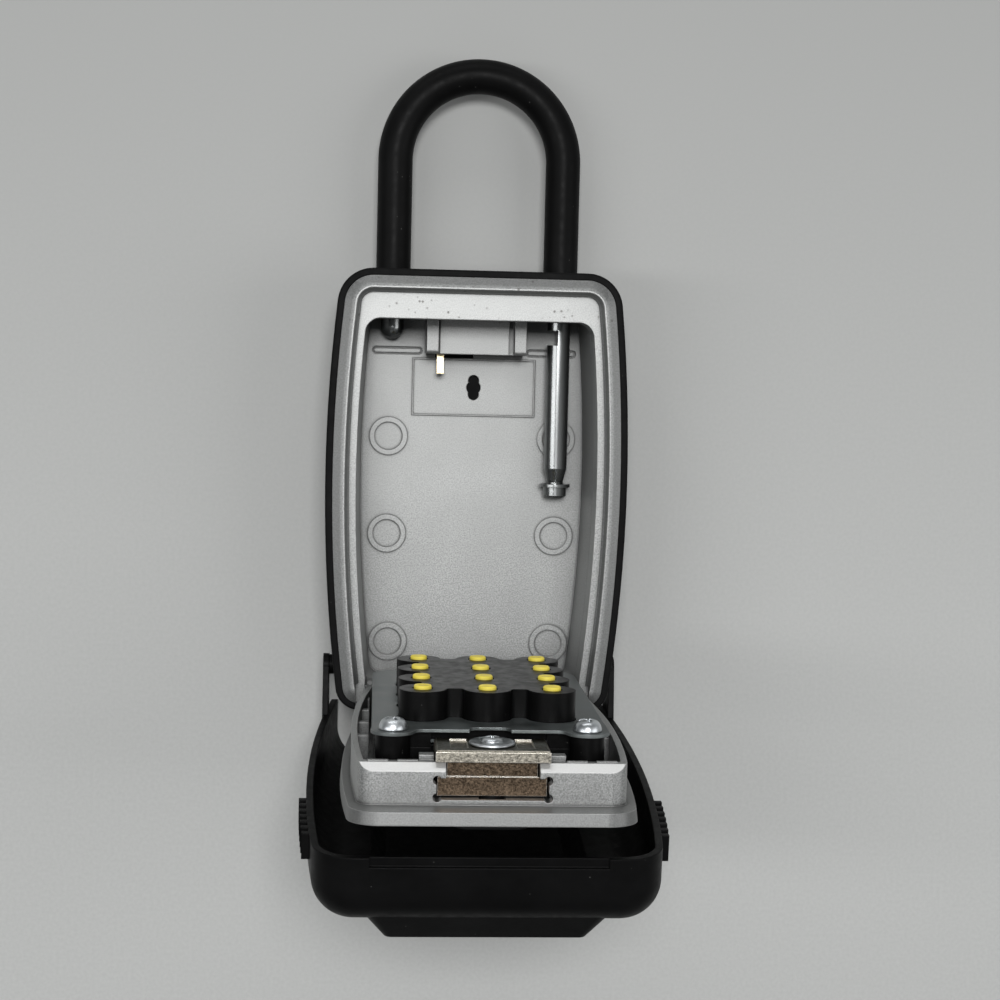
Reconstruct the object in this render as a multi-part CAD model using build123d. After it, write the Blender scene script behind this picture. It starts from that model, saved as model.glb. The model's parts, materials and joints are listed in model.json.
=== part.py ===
"""Portable lock box: a shackled key box with a push-button door and a weather cover.

Millimetres. The origin is the middle of the back face, X runs across the box, Y towards the
shackle and Z out of the open front. The box lies on its back with its door and cover open.
The parts in the door are drawn in a door frame: X across, Y inwards from the door's front face
and Z along the door from its hinge to its tip.
"""
import math
import os

from build123d import *

os.makedirs("parts", exist_ok=True)

# Play between pieces
RUNNING_GAP = 0.3
PIN_FIT = 0.05
SCREW_FIT = 0.05
JACKET_FIT = 0.1

# Keypad grid. The width of the box follows from its columns and its length from its rows
KEY_COLUMNS = 3
KEY_ROWS = 4
KEY_PITCH_X = 16.55
KEY_PITCH_U = 15.67
CAP_R = 5.7
CAP_PROUD = 1.3
CAP_ROUND = 0.8
CAP_LIP = 0.8
CAP_FLANGE_R = CAP_R + CAP_LIP
CAP_FLANGE_THICK = 0.8
KEY_TRAVEL = 2.5
KEY_BORE_R = CAP_FLANGE_R + RUNNING_GAP
SPRING_LENGTH = 2.3
SPRING_THICK = 1.5
STEM_R = 3.0
STEM_BORE_R = STEM_R + 1.0

# Code pins
CODE_PIN_R = 2.3
PIN_BORE_R = CODE_PIN_R + 0.4
SLOT_R = CODE_PIN_R + 0.4
CODE_SPIGOT_R = 1.25
CODE_SPIGOT_LENGTH = 2.2
CODE_FLAT_CUT = 1.0
CODE_SLOT_WIDTH = 0.9
CODE_SLOT_DEPTH = 0.9
CODE_PIN_PROUD = 0.9

# Width of the mechanism housing and what stands in it
UPPER_WALL = 2.65
BASE_STEP = 2.9
UPPER_HALF = (KEY_COLUMNS - 1) / 2 * KEY_PITCH_X + KEY_BORE_R + UPPER_WALL
BASE_HALF = UPPER_HALF + BASE_STEP
SLIDE_MARGIN = 2.25
SLIDE_HALF = (KEY_COLUMNS - 1) / 2 * KEY_PITCH_X + SLOT_R + SLIDE_MARGIN
SCREW_MARGIN = 4.8
SCREW_X = BASE_HALF - SCREW_MARGIN
SCREW_R = 1.5
SCREW_HEAD_R = 3.55
SCREW_HEAD_HIGH = 3.0
SCREW_HEAD_ROUND = 1.3
POST_R = 4.3
LOBE_R = 5.5
LOBE_PROUD = 0.2
PLATE_HALF = SCREW_X + LOBE_R - LOBE_PROUD

# Latch widths
NECK_HALF = 11.05
BLOCK_SHOULDER = 2.25
BLOCK_HALF = NECK_HALF + BLOCK_SHOULDER
BAR_SHOULDER = 0.6
BAR_HALF = BLOCK_HALF + BAR_SHOULDER
BAY_GAP = 0.7
LATCH_BAY_HALF = BAR_HALF + BAY_GAP
TONGUE_HALF = BLOCK_HALF + 0.1
RELIEF_R = 1.1
POCKET_FROM_X = 6.0
POCKET_TO_X = 10.2
POCKET_DEPTH = 0.5
POCKET_EDGE = 1.6
NECK_SETBACK = 0.4
NOSE_CHAMFER = 0.5
LATCH_SCREW_R = 1.6
WASHER_R = 5.65
WASHER_HIGH = 0.9
LATCH_HEAD_R = 4.0
LATCH_HEAD_HIGH = 2.1
LATCH_SPRING_X = 10.0
LATCH_SPRING_R = 2.0
LATCH_SPRING_WIRE = 0.6
KNOB_HALF = 9.0
KNOB_BEHIND = 6.0
KNOB_AHEAD = 7.0
KNOB_PROUD = 3.0
KNOB_CORNER = 3.0
KNOB_STEM_R = 3.0
THROW = 3.0

# Places along the door, from its hinge towards its tip
BASE_FOOT = 8.0
KEY_FOOT_MARGIN = 24.7
KEY_FIRST_U = BASE_FOOT + KEY_FOOT_MARGIN
KEY_LAST_U = KEY_FIRST_U + (KEY_ROWS - 1) * KEY_PITCH_U
UPPER_FOOT = BASE_FOOT + 2.0
SLIDE_EDGE = 1.0
SLIDE_FOOT = KEY_FIRST_U - SLOT_R - THROW - SLIDE_EDGE
SLIDE_TIP_EDGE = 4.1
SLIDE_TIP = KEY_LAST_U + SLOT_R + SLIDE_TIP_EDGE
UPPER_TIP_WALL = 1.1
UPPER_TIP = SLIDE_TIP + THROW + RUNNING_GAP + UPPER_TIP_WALL
SCREW_TIP_U = UPPER_TIP + RUNNING_GAP + POST_R
PLATE_TIP = SCREW_TIP_U - 0.1
BAY_WALL = 1.5
LATCH_BAY_U = KEY_LAST_U + KEY_BORE_R + BAY_WALL
SPRING_ROOM = 4.0
BLOCK_REAR = LATCH_BAY_U + SPRING_ROOM
BAR_REAR = BLOCK_REAR + 2.0
LATCH_SCREW_U = BLOCK_REAR + 10.0
BLOCK_FACE = LATCH_SCREW_U + 4.4
NOSE_REACH = 3.0
NOSE_U = BLOCK_FACE + NOSE_REACH
SKIRT_TIP = NOSE_U + RUNNING_GAP
END_WALL = 4.0
LEDGE_WIDTH = 3.6
LEDGE_LENGTH = 3.2
LEDGE_X = BAR_HALF + RUNNING_GAP + LEDGE_WIDTH / 2
BASE_TIP = SKIRT_TIP - END_WALL - LEDGE_LENGTH - RUNNING_GAP

# Reset slide
CLEAR_HALF = 6.0
CLEAR_FROM = BASE_FOOT + 6.5
CLEAR_LENGTH = 7.0
CLEAR_TO = CLEAR_FROM + CLEAR_LENGTH
CLEAR_THICK = 1.2
CLEAR_TRAVEL = 4.0
CLEAR_STEM_HALF = 2.5
CLEAR_STEM_LENGTH = 3.0
CLEAR_KNOB_PROUD = 2.2
CLEAR_KNOB_LENGTH = 5.0

# Depths in the door, from its front face inwards
FLANGE_DEPTH = 3.2
HOUSING_BACK = FLANGE_DEPTH + RUNNING_GAP
BLOCK_FROM = FLANGE_DEPTH + 1.6
BLOCK_DEPTH = 4.7
BLOCK_TO = BLOCK_FROM + BLOCK_DEPTH
NECK_DEPTH = 4.1
SKIRT_DEPTH = BLOCK_TO + NECK_DEPTH - RUNNING_GAP
BAR_FROM = SKIRT_DEPTH + RUNNING_GAP
BAR_DEPTH = 2.9
BAR_TO = BAR_FROM + BAR_DEPTH
SLIDE_THICK = 1.0
HOUSING_BASE = HOUSING_BACK + 5.5
SPRING_TOP = HOUSING_BACK + CAP_FLANGE_THICK + KEY_TRAVEL + RUNNING_GAP + SPRING_LENGTH
STEM_END = SPRING_TOP - 0.4
STEM_BORE_END = STEM_END + KEY_TRAVEL + 0.5
CODE_PIN_START = STEM_END + RUNNING_GAP
SCREW_END = HOUSING_BASE + 1.0
HOUSING_TOP = BAR_TO + 1.5
PLATE_THICK = 0.8
TOWER_HIGH = 8.25
TOWER_TOP = HOUSING_TOP + TOWER_HIGH
CODE_PIN_TOP = TOWER_TOP + CODE_PIN_PROUD
CODE_FLAT_MARGIN = 0.6
TOWER_R = 6.1
TOWER_FILLET = 1.2
PLATE_CORNER = 7.0
PLATE_GAP = 0.3
PLATE_DIP_HALF = 5.2
PLATE_DIP = 3.2
PLATE_FILLET = 2.4

# Door casting
SIDE_RADIUS = 480.0
HINGE_TO_WIDEST = 63.5
SKIRT_WALL = 1.6
END_CHAMFER = 1.9
MOUTH_INSET = 8.9
MOUTH_CORNER = 4.5
DOOR_SIDE_GAP = 0.6
SKIRT_CORNER = MOUTH_CORNER - DOOR_SIDE_GAP
SKIRT_INSET = MOUTH_INSET + DOOR_SIDE_GAP
RECESS_INSET = 6.9
FLANGE_DRAFT = 0.4
FLANGE_INSET = RECESS_INSET + RUNNING_GAP - FLANGE_DRAFT
FLANGE_TIP_CORNER = 8.0
FLANGE_FOOT_CORNER = 2.5
RIB_THICK = 2.5
RIB_PITCH = 17.5
RIB_FIRST = BASE_FOOT + 6.5
RIB_COUNT = 4
RIB_INNER_X = BASE_HALF + 1.2
RIB_DEPTH = 11.5
LEDGE_DEPTH = BAR_FROM + 1.0
PAD_HEIGHT = 0.3
PAD_LENGTH = 1.2
PAD_WIDTH = 5.0
PAD_INNER_X = LEDGE_X + 4.5
PAD_PITCH = 7.2
BARREL_R = 3.4
PIN_R = 1.5

# Box, from the inside out
BASE_GAP = 0.9
SKIRT_SIDE_RADIUS = SIDE_RADIUS - SKIRT_INSET - SKIRT_WALL
SIDE_SAG = SKIRT_SIDE_RADIUS - math.sqrt(SKIRT_SIDE_RADIUS**2 - (HINGE_TO_WIDEST - BASE_FOOT) ** 2)
BOX_HALF = BASE_HALF + BASE_GAP + SIDE_SAG + SKIRT_WALL + SKIRT_INSET
HINGE_Y = -60.5
WIDEST_Y = HINGE_Y + HINGE_TO_WIDEST
MOUTH_TIP_Y = HINGE_Y + SKIRT_TIP + RUNNING_GAP
LIP_REACH = 4.5
CAVITY_TIP_Y = MOUTH_TIP_Y + LIP_REACH
TIP_WALL = 9.8
BOX_TIP_Y = CAVITY_TIP_Y + TIP_WALL
BOX_FOOT_Y = HINGE_Y - 4.8
CAVITY_FOOT_Y = HINGE_Y + 1.2
FLANGE_TIP = BOX_TIP_Y - HINGE_Y - 7.0
FLANGE_FOOT = -4.6
SKIRT_FOOT = -BARREL_R
BOX_TIP_CORNER = 10.5
BOX_FOOT_CORNER = 7.0
CAVITY_FOOT_CORNER = 3.0
WALL_DRAFT = 1.0
RIDGE_INSET = 5.2
RIDGE_WIDTH = 0.4
FOOT_GAP_INSET = 12.6
FOOT_GAP_HALF = BOX_HALF - FOOT_GAP_INSET
FOOT_RECESS_HALF = FOOT_GAP_HALF + 2.8
BARREL_HALF = FOOT_GAP_HALF - 0.6
PIN_HALF = FOOT_GAP_HALF + 3.9

# Rubber jacket
BOOT_WALL = 2.0
BOOT_BACK = 1.5
BOOT_BACK_ROUND = 3.0
BOOT_LIP_ROUND = 0.7
CASTING_INSET = BOOT_WALL + JACKET_FIT
CASTING_BACK_Z = BOOT_BACK + JACKET_FIT

# Heights in the box, from the back
FLOOR_THICK = 2.2
FLOOR_Z = CASTING_BACK_Z + FLOOR_THICK
MARK_HEIGHT = 0.5
STOP_RING_R = 4.6
STOP_RING_LIFT = 0.5
LEG_Z = FLOOR_Z + MARK_HEIGHT + STOP_RING_LIFT + STOP_RING_R
ROD_R = 3.5
TOWER_SINK = 0.15
DOOR_FRONT_Z = LEG_Z + ROD_R - TOWER_SINK + TOWER_TOP
HINGE_DEPTH = 11.7
HINGE_Z = DOOR_FRONT_Z - HINGE_DEPTH
RIDGE_Z = DOOR_FRONT_Z - 1.0
RIM_EDGE_Z = RIDGE_Z - 1.4
BOOT_TOP_Z = RIM_EDGE_Z - JACKET_FIT
SHELF_Z = DOOR_FRONT_Z - FLANGE_DEPTH - 0.5
LIP_BOTTOM_Z = DOOR_FRONT_Z - SKIRT_DEPTH
FOOT_WALL_Z = HINGE_Z - BARREL_R - 0.9

# Shackle
LEG_INSET = 18.8
LEG_X = BOX_HALF - LEG_INSET
LEG_FIT = 0.05
SLEEVE_R = 5.2
SLEEVE_FIT = 0.03
SHACKLE_REACH = 34.0
ARC_Y = BOX_TIP_Y + SHACKLE_REACH
SLEEVE_START_Y = BOX_TIP_Y - 1.3
BUTTON_LENGTH = 3.1
LONG_LEG_REACH = 54.3
BUTTON_TOP_Y = CAVITY_TIP_Y - LONG_LEG_REACH
BUTTON_END_Y = BUTTON_TOP_Y - BUTTON_LENGTH
WAIST_R = 2.45
WAIST_Y = BUTTON_TOP_Y + 1.5
WAIST_TAPER = 4.2
SHORT_LEG_Y = CAVITY_TIP_Y - 10.1
STOP_RING_THICK = 1.0
STOP_RING_GAP = 3.4

# Shackle lock
BOLT_Y = CAVITY_TIP_Y - 8.8
BOLT_Z = LEG_Z
BOLT_WIDTH = 3.8
LOCK_WINDOW = BOLT_WIDTH / 2 + RUNNING_GAP
BOLT_LEFT_X = -13.0
BOLT_RIGHT_X = LEG_X - 10.7
BOLT_NOSE = 1.0
RELEASE_TRAVEL = 8.9
NOTCH_DEPTH = 3.0
LOCK_HALF = BOLT_RIGHT_X + RUNNING_GAP
LOCK_FRONT_Y = BOLT_Y - 5.6
LOCK_TOP_Z = BOLT_Z + 8.1
LOCK_POST = 3.5
LOCK_RECESS = 1.4
LOCK_ROUND = 1.0
LOCK_GROOVE_LEFT = 0.5
LOCK_GROOVE_RIGHT = 1.7
LOCK_GROOVE_DEPTH = 4.0
LOCK_BACK_GAP = 0.1
LEVER_WIDTH = 2.2
LEVER_LEFT = 1.3
LEVER_THICK = 1.2
LEVER_REACH = 6.0
LEVER_TAB = 3.2
LEVER_ROOM = 0.4
LEVER_SLOT = 1.1

# Marks on the floor
RING_OUTER = 5.85
RING_INNER = 4.3
RING_PLACES = ((LEG_X + 0.5, 14.1), (LEG_X + 0.5, -16.0), (LEG_X - 0.4, -49.7))
FRAME_WIDTH = 37.8
FRAME_HEIGHT = 17.6
FRAME_LINE = 0.4
FRAME_RISE = 0.3
FRAME_Y = LOCK_FRONT_Y - 10.1
KEYHOLE_LOBE = 1.7
KEYHOLE_STEP = 2.15
KEYHOLE_WAIST = 2.2
GROOVE_LENGTH = 15.5
GROOVE_WIDTH = 2.4
GROOVE_LINE = 0.6
GROOVE_DEPTH = 0.8
GROOVE_X = LEG_X - 1.7
GROOVE_REACH = 13.6
GROOVE_Y = CAVITY_TIP_Y - GROOVE_REACH

# Weather cover, drawn closed
COVER_WALL = 1.9
COVER_SIDE_GAP = 0.6
COVER_TIP_GAP = 0.5
COVER_HALF = BOX_HALF + COVER_SIDE_GAP + COVER_WALL
COVER_SIDE_RADIUS = SIDE_RADIUS + COVER_SIDE_GAP + COVER_WALL
COVER_FOOT_Y = HINGE_Y - 4.3
COVER_TIP_Y = BOX_TIP_Y + COVER_TIP_GAP + COVER_WALL
COVER_TIP_CORNER = 11.0
COVER_ROUND = COVER_TIP_CORNER - 1.0
COVER_RIM_Z = HINGE_Z + 0.7
COVER_FRONT_GAP = 2.7
COVER_FRONT_Z = DOOR_FRONT_Z + KNOB_PROUD + COVER_FRONT_GAP + COVER_WALL
COVER_PIVOT_Y = HINGE_Y + 5.1
COVER_PIVOT_Z = 14.0
COVER_OPEN = 96.5
BUMP_HIGH = 5.9
BUMP_SLOPE = 4.0
BUMP_CORNER = 3.0
BUMP_HALF = 29.5
BUMP_FOOT_Y = COVER_FOOT_Y + 6.8
BUMP_TIP_Y = COVER_TIP_Y - 5.6
TIP_NOTCH_HALF = 29.3
TIP_NOTCH_HIGH = 2.4
TIP_NOTCH_DEPTH = 1.0
GRIP_REACH = 41.2
GRIP_FIRST_Y = COVER_TIP_Y - GRIP_REACH
GRIP_PITCH = 4.0
GRIP_COUNT = 7
GRIP_THICK = 1.6
GRIP_PROUD = 1.9
GRIP_HIGH = 6.8
EAR_THICK = 1.8
EAR_OUTER = COVER_HALF - 2.3
EAR_INNER = EAR_OUTER - EAR_THICK
EAR_END_R = 3.3
EAR_ROOT_HALF = 7.5
EAR_ROOT_Z = COVER_RIM_Z + 3.0
EAR_BOSS_R = 3.0
EAR_BOSS_X = EAR_INNER - 1.5
COVER_PIN_R = 2.0
COVER_PIN_FROM = BOX_HALF - 10.0
COVER_PIN_TO = EAR_OUTER - 0.6

KEY_PLACES = [
    ((column - (KEY_COLUMNS - 1) / 2) * KEY_PITCH_X, KEY_FIRST_U + row * KEY_PITCH_U)
    for row in range(KEY_ROWS)
    for column in range(KEY_COLUMNS)
]
SCREW_PLACES = [(side * SCREW_X, SCREW_TIP_U) for side in (-1, 1)]


# Shared forms

def block(x, y, z):
    """A box from the low and high value on each axis."""
    sizes = [high - low for low, high in (x, y, z)]
    middle = [(high + low) / 2 for low, high in (x, y, z)]
    return Pos(*middle) * Box(*sizes)


def bar_x(y, z, radius, x_from, x_to):
    """A round bar along X."""
    bar = Cylinder(radius, x_to - x_from, align=(Align.CENTER, Align.CENTER, Align.MIN))
    return Pos(x_from, y, z) * Rot(0, 90, 0) * bar


def bar_y(x, z, radius, y_from, y_to):
    """A round bar along Y."""
    bar = Cylinder(radius, y_to - y_from, align=(Align.CENTER, Align.CENTER, Align.MIN))
    return Pos(x, y_from, z) * Rot(-90, 0, 0) * bar


def bar_z(x, y, radius, z_from, z_to):
    """A round bar along Z."""
    bar = Cylinder(radius, z_to - z_from, align=(Align.CENTER, Align.CENTER, Align.MIN))
    return Pos(x, y, z_from) * bar


def tube_y(x, z, outer, inner, y_from, y_to):
    """A round tube along Y."""
    return bar_y(x, z, outer, y_from, y_to) - bar_y(x, z, inner, y_from - 1, y_to + 1)


def slab(face, z_from, z_to):
    """A flat outline made thick between two heights."""
    return Pos(0, 0, z_from) * extrude(face, z_to - z_from, dir=(0, 0, 1))


def taper(low_face, z_from, high_face, z_to):
    """A solid with straight sloping sides between two outlines."""
    return loft([Pos(0, 0, z_from) * low_face, Pos(0, 0, z_to) * high_face], ruled=True)


def half_at(y, half, radius, widest):
    """Half width of a bowed outline at one height."""
    return half - radius + math.sqrt(radius**2 - (y - widest) ** 2)


def bowed_outline(half, radius, widest, foot, tip, foot_corner, tip_corner):
    """A flat outline with two bowed sides and two straight ends, its corners rounded."""
    middle = (foot + tip) / 2
    foot_half = half_at(foot, half, radius, widest)
    middle_half = half_at(middle, half, radius, widest)
    tip_half = half_at(tip, half, radius, widest)
    sides = Curve() + [
        ThreePointArc((foot_half, foot), (middle_half, middle), (tip_half, tip)),
        Line((tip_half, tip), (-tip_half, tip)),
        ThreePointArc((-tip_half, tip), (-middle_half, middle), (-foot_half, foot)),
        Line((-foot_half, foot), (foot_half, foot)),
    ]
    face = make_face(sides)
    face = fillet(face.vertices().sort_by(Axis.Y)[:2], foot_corner)
    return fillet(face.vertices().sort_by(Axis.Y)[-2:], tip_corner)


def box_outline(inset):
    """The box outline moved inwards."""
    return bowed_outline(
        BOX_HALF - inset, SIDE_RADIUS - inset, WIDEST_Y,
        BOX_FOOT_Y + inset, BOX_TIP_Y - inset,
        max(BOX_FOOT_CORNER - inset, 1.5), max(BOX_TIP_CORNER - inset, 1.5),
    )


def cavity_outline(inset, tip):
    """The outline of the hollow inside the cast box."""
    return bowed_outline(
        BOX_HALF - inset, SIDE_RADIUS - inset, WIDEST_Y,
        CAVITY_FOOT_Y, tip, CAVITY_FOOT_CORNER, MOUTH_CORNER,
    )


def door_outline(inset, foot, tip, foot_corner, tip_corner):
    """An outline that follows the box sides, measured along the door from its hinge."""
    return bowed_outline(
        BOX_HALF - inset, SIDE_RADIUS - inset, HINGE_TO_WIDEST,
        foot, tip, foot_corner, tip_corner,
    )


def stand(solid):
    """A solid drawn lying at minus its depth, stood up in the door frame."""
    return Rot(90, 0, 0) * solid


def door_slab(face, depth_from, depth_to):
    """A flat outline made thick between two depths behind the door's front."""
    return stand(slab(face, -depth_to, -depth_from))


def place_door(shape):
    """Move a shape from the door frame to the open door."""
    return Pos(0, HINGE_Y - HINGE_DEPTH, HINGE_Z) * shape


def open_cover(shape):
    """Turn a shape drawn on the closed cover to the open cover."""
    swing = Pos(0, COVER_PIVOT_Y, COVER_PIVOT_Z) * Rot(COVER_OPEN, 0, 0)
    return swing * Pos(0, -COVER_PIVOT_Y, -COVER_PIVOT_Z) * shape


def both_sides(make):
    """The same solid on the right and on the left."""
    right = make(1)
    return right + make(-1)


def sided(side, low, high):
    """Low and high X of a span on one side of the middle."""
    return (low, high) if side > 0 else (-high, -low)


# Fixed body

def body_shell():
    """The cast block with its sloping rim, before it is hollowed."""
    shell = slab(box_outline(CASTING_INSET), CASTING_BACK_Z, RIM_EDGE_Z)
    return shell + taper(box_outline(CASTING_INSET), RIM_EDGE_Z, box_outline(RIDGE_INSET), RIDGE_Z)


def body_hollow():
    """Recess for the door flange, mouth, cavity and the gap at the hinge end."""
    ridge_inner = RIDGE_INSET + RIDGE_WIDTH
    slope = (RECESS_INSET - ridge_inner) / (RIDGE_Z - SHELF_Z)
    above = 1.0
    recess = taper(
        box_outline(RECESS_INSET), SHELF_Z,
        box_outline(ridge_inner - slope * above), RIDGE_Z + above,
    )
    mouth = slab(cavity_outline(MOUTH_INSET, MOUTH_TIP_Y), LIP_BOTTOM_Z - 1, RIDGE_Z + above)
    cavity = taper(
        cavity_outline(MOUTH_INSET + WALL_DRAFT, CAVITY_TIP_Y), FLOOR_Z,
        cavity_outline(MOUTH_INSET, CAVITY_TIP_Y), LIP_BOTTOM_Z,
    )
    gap_y = (BOX_FOOT_Y - 1, CAVITY_FOOT_Y + CAVITY_FOOT_CORNER)
    gap = block((-FOOT_GAP_HALF, FOOT_GAP_HALF), gap_y, (FOOT_WALL_Z, RIDGE_Z + above))
    gap_recess = block(
        (-FOOT_RECESS_HALF, FOOT_RECESS_HALF),
        (BOX_FOOT_Y - 1, BOX_FOOT_Y + RECESS_INSET + 1), (SHELF_Z, RIDGE_Z + above),
    )
    return recess + mouth + cavity + gap + gap_recess


def body_bores():
    """Bores for the shackle legs, the door's hinge pin and the cover's pins."""
    legs = both_sides(
        lambda side: bar_y(side * LEG_X, LEG_Z, ROD_R + LEG_FIT, CAVITY_TIP_Y - 1, BOX_TIP_Y)
    )
    reach = PIN_HALF + RUNNING_GAP
    hinge = bar_x(HINGE_Y, HINGE_Z, PIN_R + PIN_FIT, -reach, reach)
    cover = both_sides(
        lambda side: bar_x(
            COVER_PIVOT_Y, COVER_PIVOT_Z, COVER_PIN_R + PIN_FIT,
            *sided(side, COVER_PIN_FROM - RUNNING_GAP, BOX_HALF),
        )
    )
    return legs + hinge + cover


def floor_marks():
    """Raised rings and the raised frame on the floor."""
    top = FLOOR_Z + MARK_HEIGHT
    root = FLOOR_Z - 0.5
    rings = [
        bar_z(side * x, y, RING_OUTER, root, top) - bar_z(side * x, y, RING_INNER, root - 1, top + 1)
        for side in (-1, 1)
        for x, y in RING_PLACES
    ]
    frame = Rectangle(FRAME_WIDTH, FRAME_HEIGHT)
    frame -= Rectangle(FRAME_WIDTH - 2 * FRAME_LINE, FRAME_HEIGHT - 2 * FRAME_LINE)
    return rings + [slab(Pos(0, FRAME_Y) * frame, root, FLOOR_Z + FRAME_RISE)]


def floor_cuts():
    """The keyhole through the floor and the two outlined bars in it."""
    hole = Rectangle(KEYHOLE_WAIST, 2 * KEYHOLE_STEP + KEYHOLE_LOBE) + Circle(KEYHOLE_WAIST)
    for side in (-1, 1):
        hole += Pos(0, side * KEYHOLE_STEP) * Circle(KEYHOLE_LOBE)
    through = (CASTING_BACK_Z - 1, FLOOR_Z + 1)
    cuts = [slab(Pos(0, FRAME_Y) * hole, *through)]
    cuts.append(block(lever_reach(), (LOCK_FRONT_Y - LEVER_SLOT, LOCK_FRONT_Y), through))
    line = SlotOverall(GROOVE_LENGTH, GROOVE_WIDTH)
    line -= SlotOverall(GROOVE_LENGTH - 2 * GROOVE_LINE, GROOVE_WIDTH - 2 * GROOVE_LINE)
    for side in (-1, 1):
        cuts.append(slab(Pos(side * GROOVE_X, GROOVE_Y) * line, FLOOR_Z - GROOVE_DEPTH, FLOOR_Z + 1))
    return cuts


def body_casting():
    """The die-cast box."""
    casting = body_shell() - body_hollow() - body_bores()
    casting += floor_marks()
    return casting - floor_cuts()


def body_boot():
    """The rubber jacket round the sides and the back."""
    boot = slab(box_outline(0), 0, BOOT_TOP_Z)
    boot = fillet(boot.faces().sort_by(Axis.Z)[0].edges(), BOOT_BACK_ROUND)
    boot = fillet(boot.faces().sort_by(Axis.Z)[-1].edges(), BOOT_LIP_ROUND)
    boot -= slab(box_outline(BOOT_WALL), BOOT_BACK, BOOT_TOP_Z + 1)
    boot -= block(
        (-FOOT_RECESS_HALF, FOOT_RECESS_HALF),
        (BOX_FOOT_Y - 1, BOX_FOOT_Y + BOOT_WALL + 1), (FOOT_WALL_Z - 0.4, BOOT_TOP_Z + 1),
    )
    boot -= both_sides(
        lambda side: bar_y(
            side * LEG_X, LEG_Z, SLEEVE_R + RUNNING_GAP, BOX_TIP_Y - BOOT_WALL - 1, BOX_TIP_Y + 1
        )
    )
    return boot - both_sides(
        lambda side: bar_x(
            COVER_PIVOT_Y, COVER_PIVOT_Z, COVER_PIN_R + RUNNING_GAP,
            *sided(side, COVER_PIN_FROM, BOX_HALF),
        )
    )


def lever_reach():
    """From the lever's left side to its right side when it is pushed across, with room."""
    left = BOLT_LEFT_X + LEVER_LEFT
    return left - LEVER_ROOM, left + LEVER_WIDTH + RELEASE_TRAVEL + LEVER_ROOM


def shackle_lock_housing():
    """The cast block that guides the release bolt, with a slot for its lever."""
    housing = block(
        (-LOCK_HALF, LOCK_HALF), (LOCK_FRONT_Y, CAVITY_TIP_Y - LOCK_BACK_GAP), (FLOOR_Z, LOCK_TOP_Z)
    )
    front = housing.edges().filter_by(Axis.X).group_by(Axis.Z)[-1].sort_by(Axis.Y)[0]
    housing = fillet(front, LOCK_ROUND)
    inner = LOCK_HALF - LOCK_POST
    for groove in ((-inner, -inner + LOCK_GROOVE_LEFT), (inner - LOCK_GROOVE_RIGHT, inner)):
        housing -= block(
            groove, (LOCK_FRONT_Y - 1, CAVITY_TIP_Y), (LOCK_TOP_Z - LOCK_GROOVE_DEPTH, LOCK_TOP_Z + 1)
        )
    housing -= block(
        (-inner, inner), (LOCK_FRONT_Y - 1, CAVITY_TIP_Y), (LOCK_TOP_Z - LOCK_RECESS, LOCK_TOP_Z + 1)
    )
    housing -= block(
        (-LOCK_HALF + 1, LOCK_HALF + 1),
        (BOLT_Y - LOCK_WINDOW, BOLT_Y + LOCK_WINDOW), (BOLT_Z - LOCK_WINDOW, BOLT_Z + LOCK_WINDOW),
    )
    half = LEVER_THICK / 2 + RUNNING_GAP
    return housing - block(
        lever_reach(), (LOCK_FRONT_Y - 1, BOLT_Y), (BOLT_Z - half, BOLT_Z + half)
    )


def door_hinge_pin():
    """The steel pin across the foot of the box."""
    return bar_x(HINGE_Y, HINGE_Z, PIN_R, -PIN_HALF, PIN_HALF)


def cover_pivot_pins():
    """The two steel pins that carry the weather cover."""
    return both_sides(
        lambda side: bar_x(
            COVER_PIVOT_Y, COVER_PIVOT_Z, COVER_PIN_R, *sided(side, COVER_PIN_FROM, COVER_PIN_TO)
        )
    )


# Shackle and its release

def release_bolt():
    """The square steel bar whose tapered nose enters the notch of the long leg."""
    half = BOLT_WIDTH / 2
    bolt = block(
        (BOLT_LEFT_X, BOLT_RIGHT_X), (BOLT_Y - half, BOLT_Y + half), (BOLT_Z - half, BOLT_Z + half)
    )
    return chamfer(bolt.faces().sort_by(Axis.X)[-1].edges(), BOLT_NOSE)


def release_lever():
    """The brass finger tab, bent up at its end."""
    left = BOLT_LEFT_X + LEVER_LEFT
    low = BOLT_Z - LEVER_THICK / 2
    end = LOCK_FRONT_Y - LEVER_REACH
    strip = block(
        (left, left + LEVER_WIDTH), (end, BOLT_Y - BOLT_WIDTH / 2), (low, low + LEVER_THICK)
    )
    tab = block((left, left + LEVER_WIDTH), (end, end + LEVER_THICK), (low, low + LEVER_TAB))
    return strip + tab


def half_ring(face):
    """Half a ring from a cross-section, round the middle of the shackle's bend."""
    section = Plane.XZ * Pos(LEG_X, 0) * face
    return Pos(0, ARC_Y, LEG_Z) * revolve(section, Axis.Z, 180)


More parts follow.
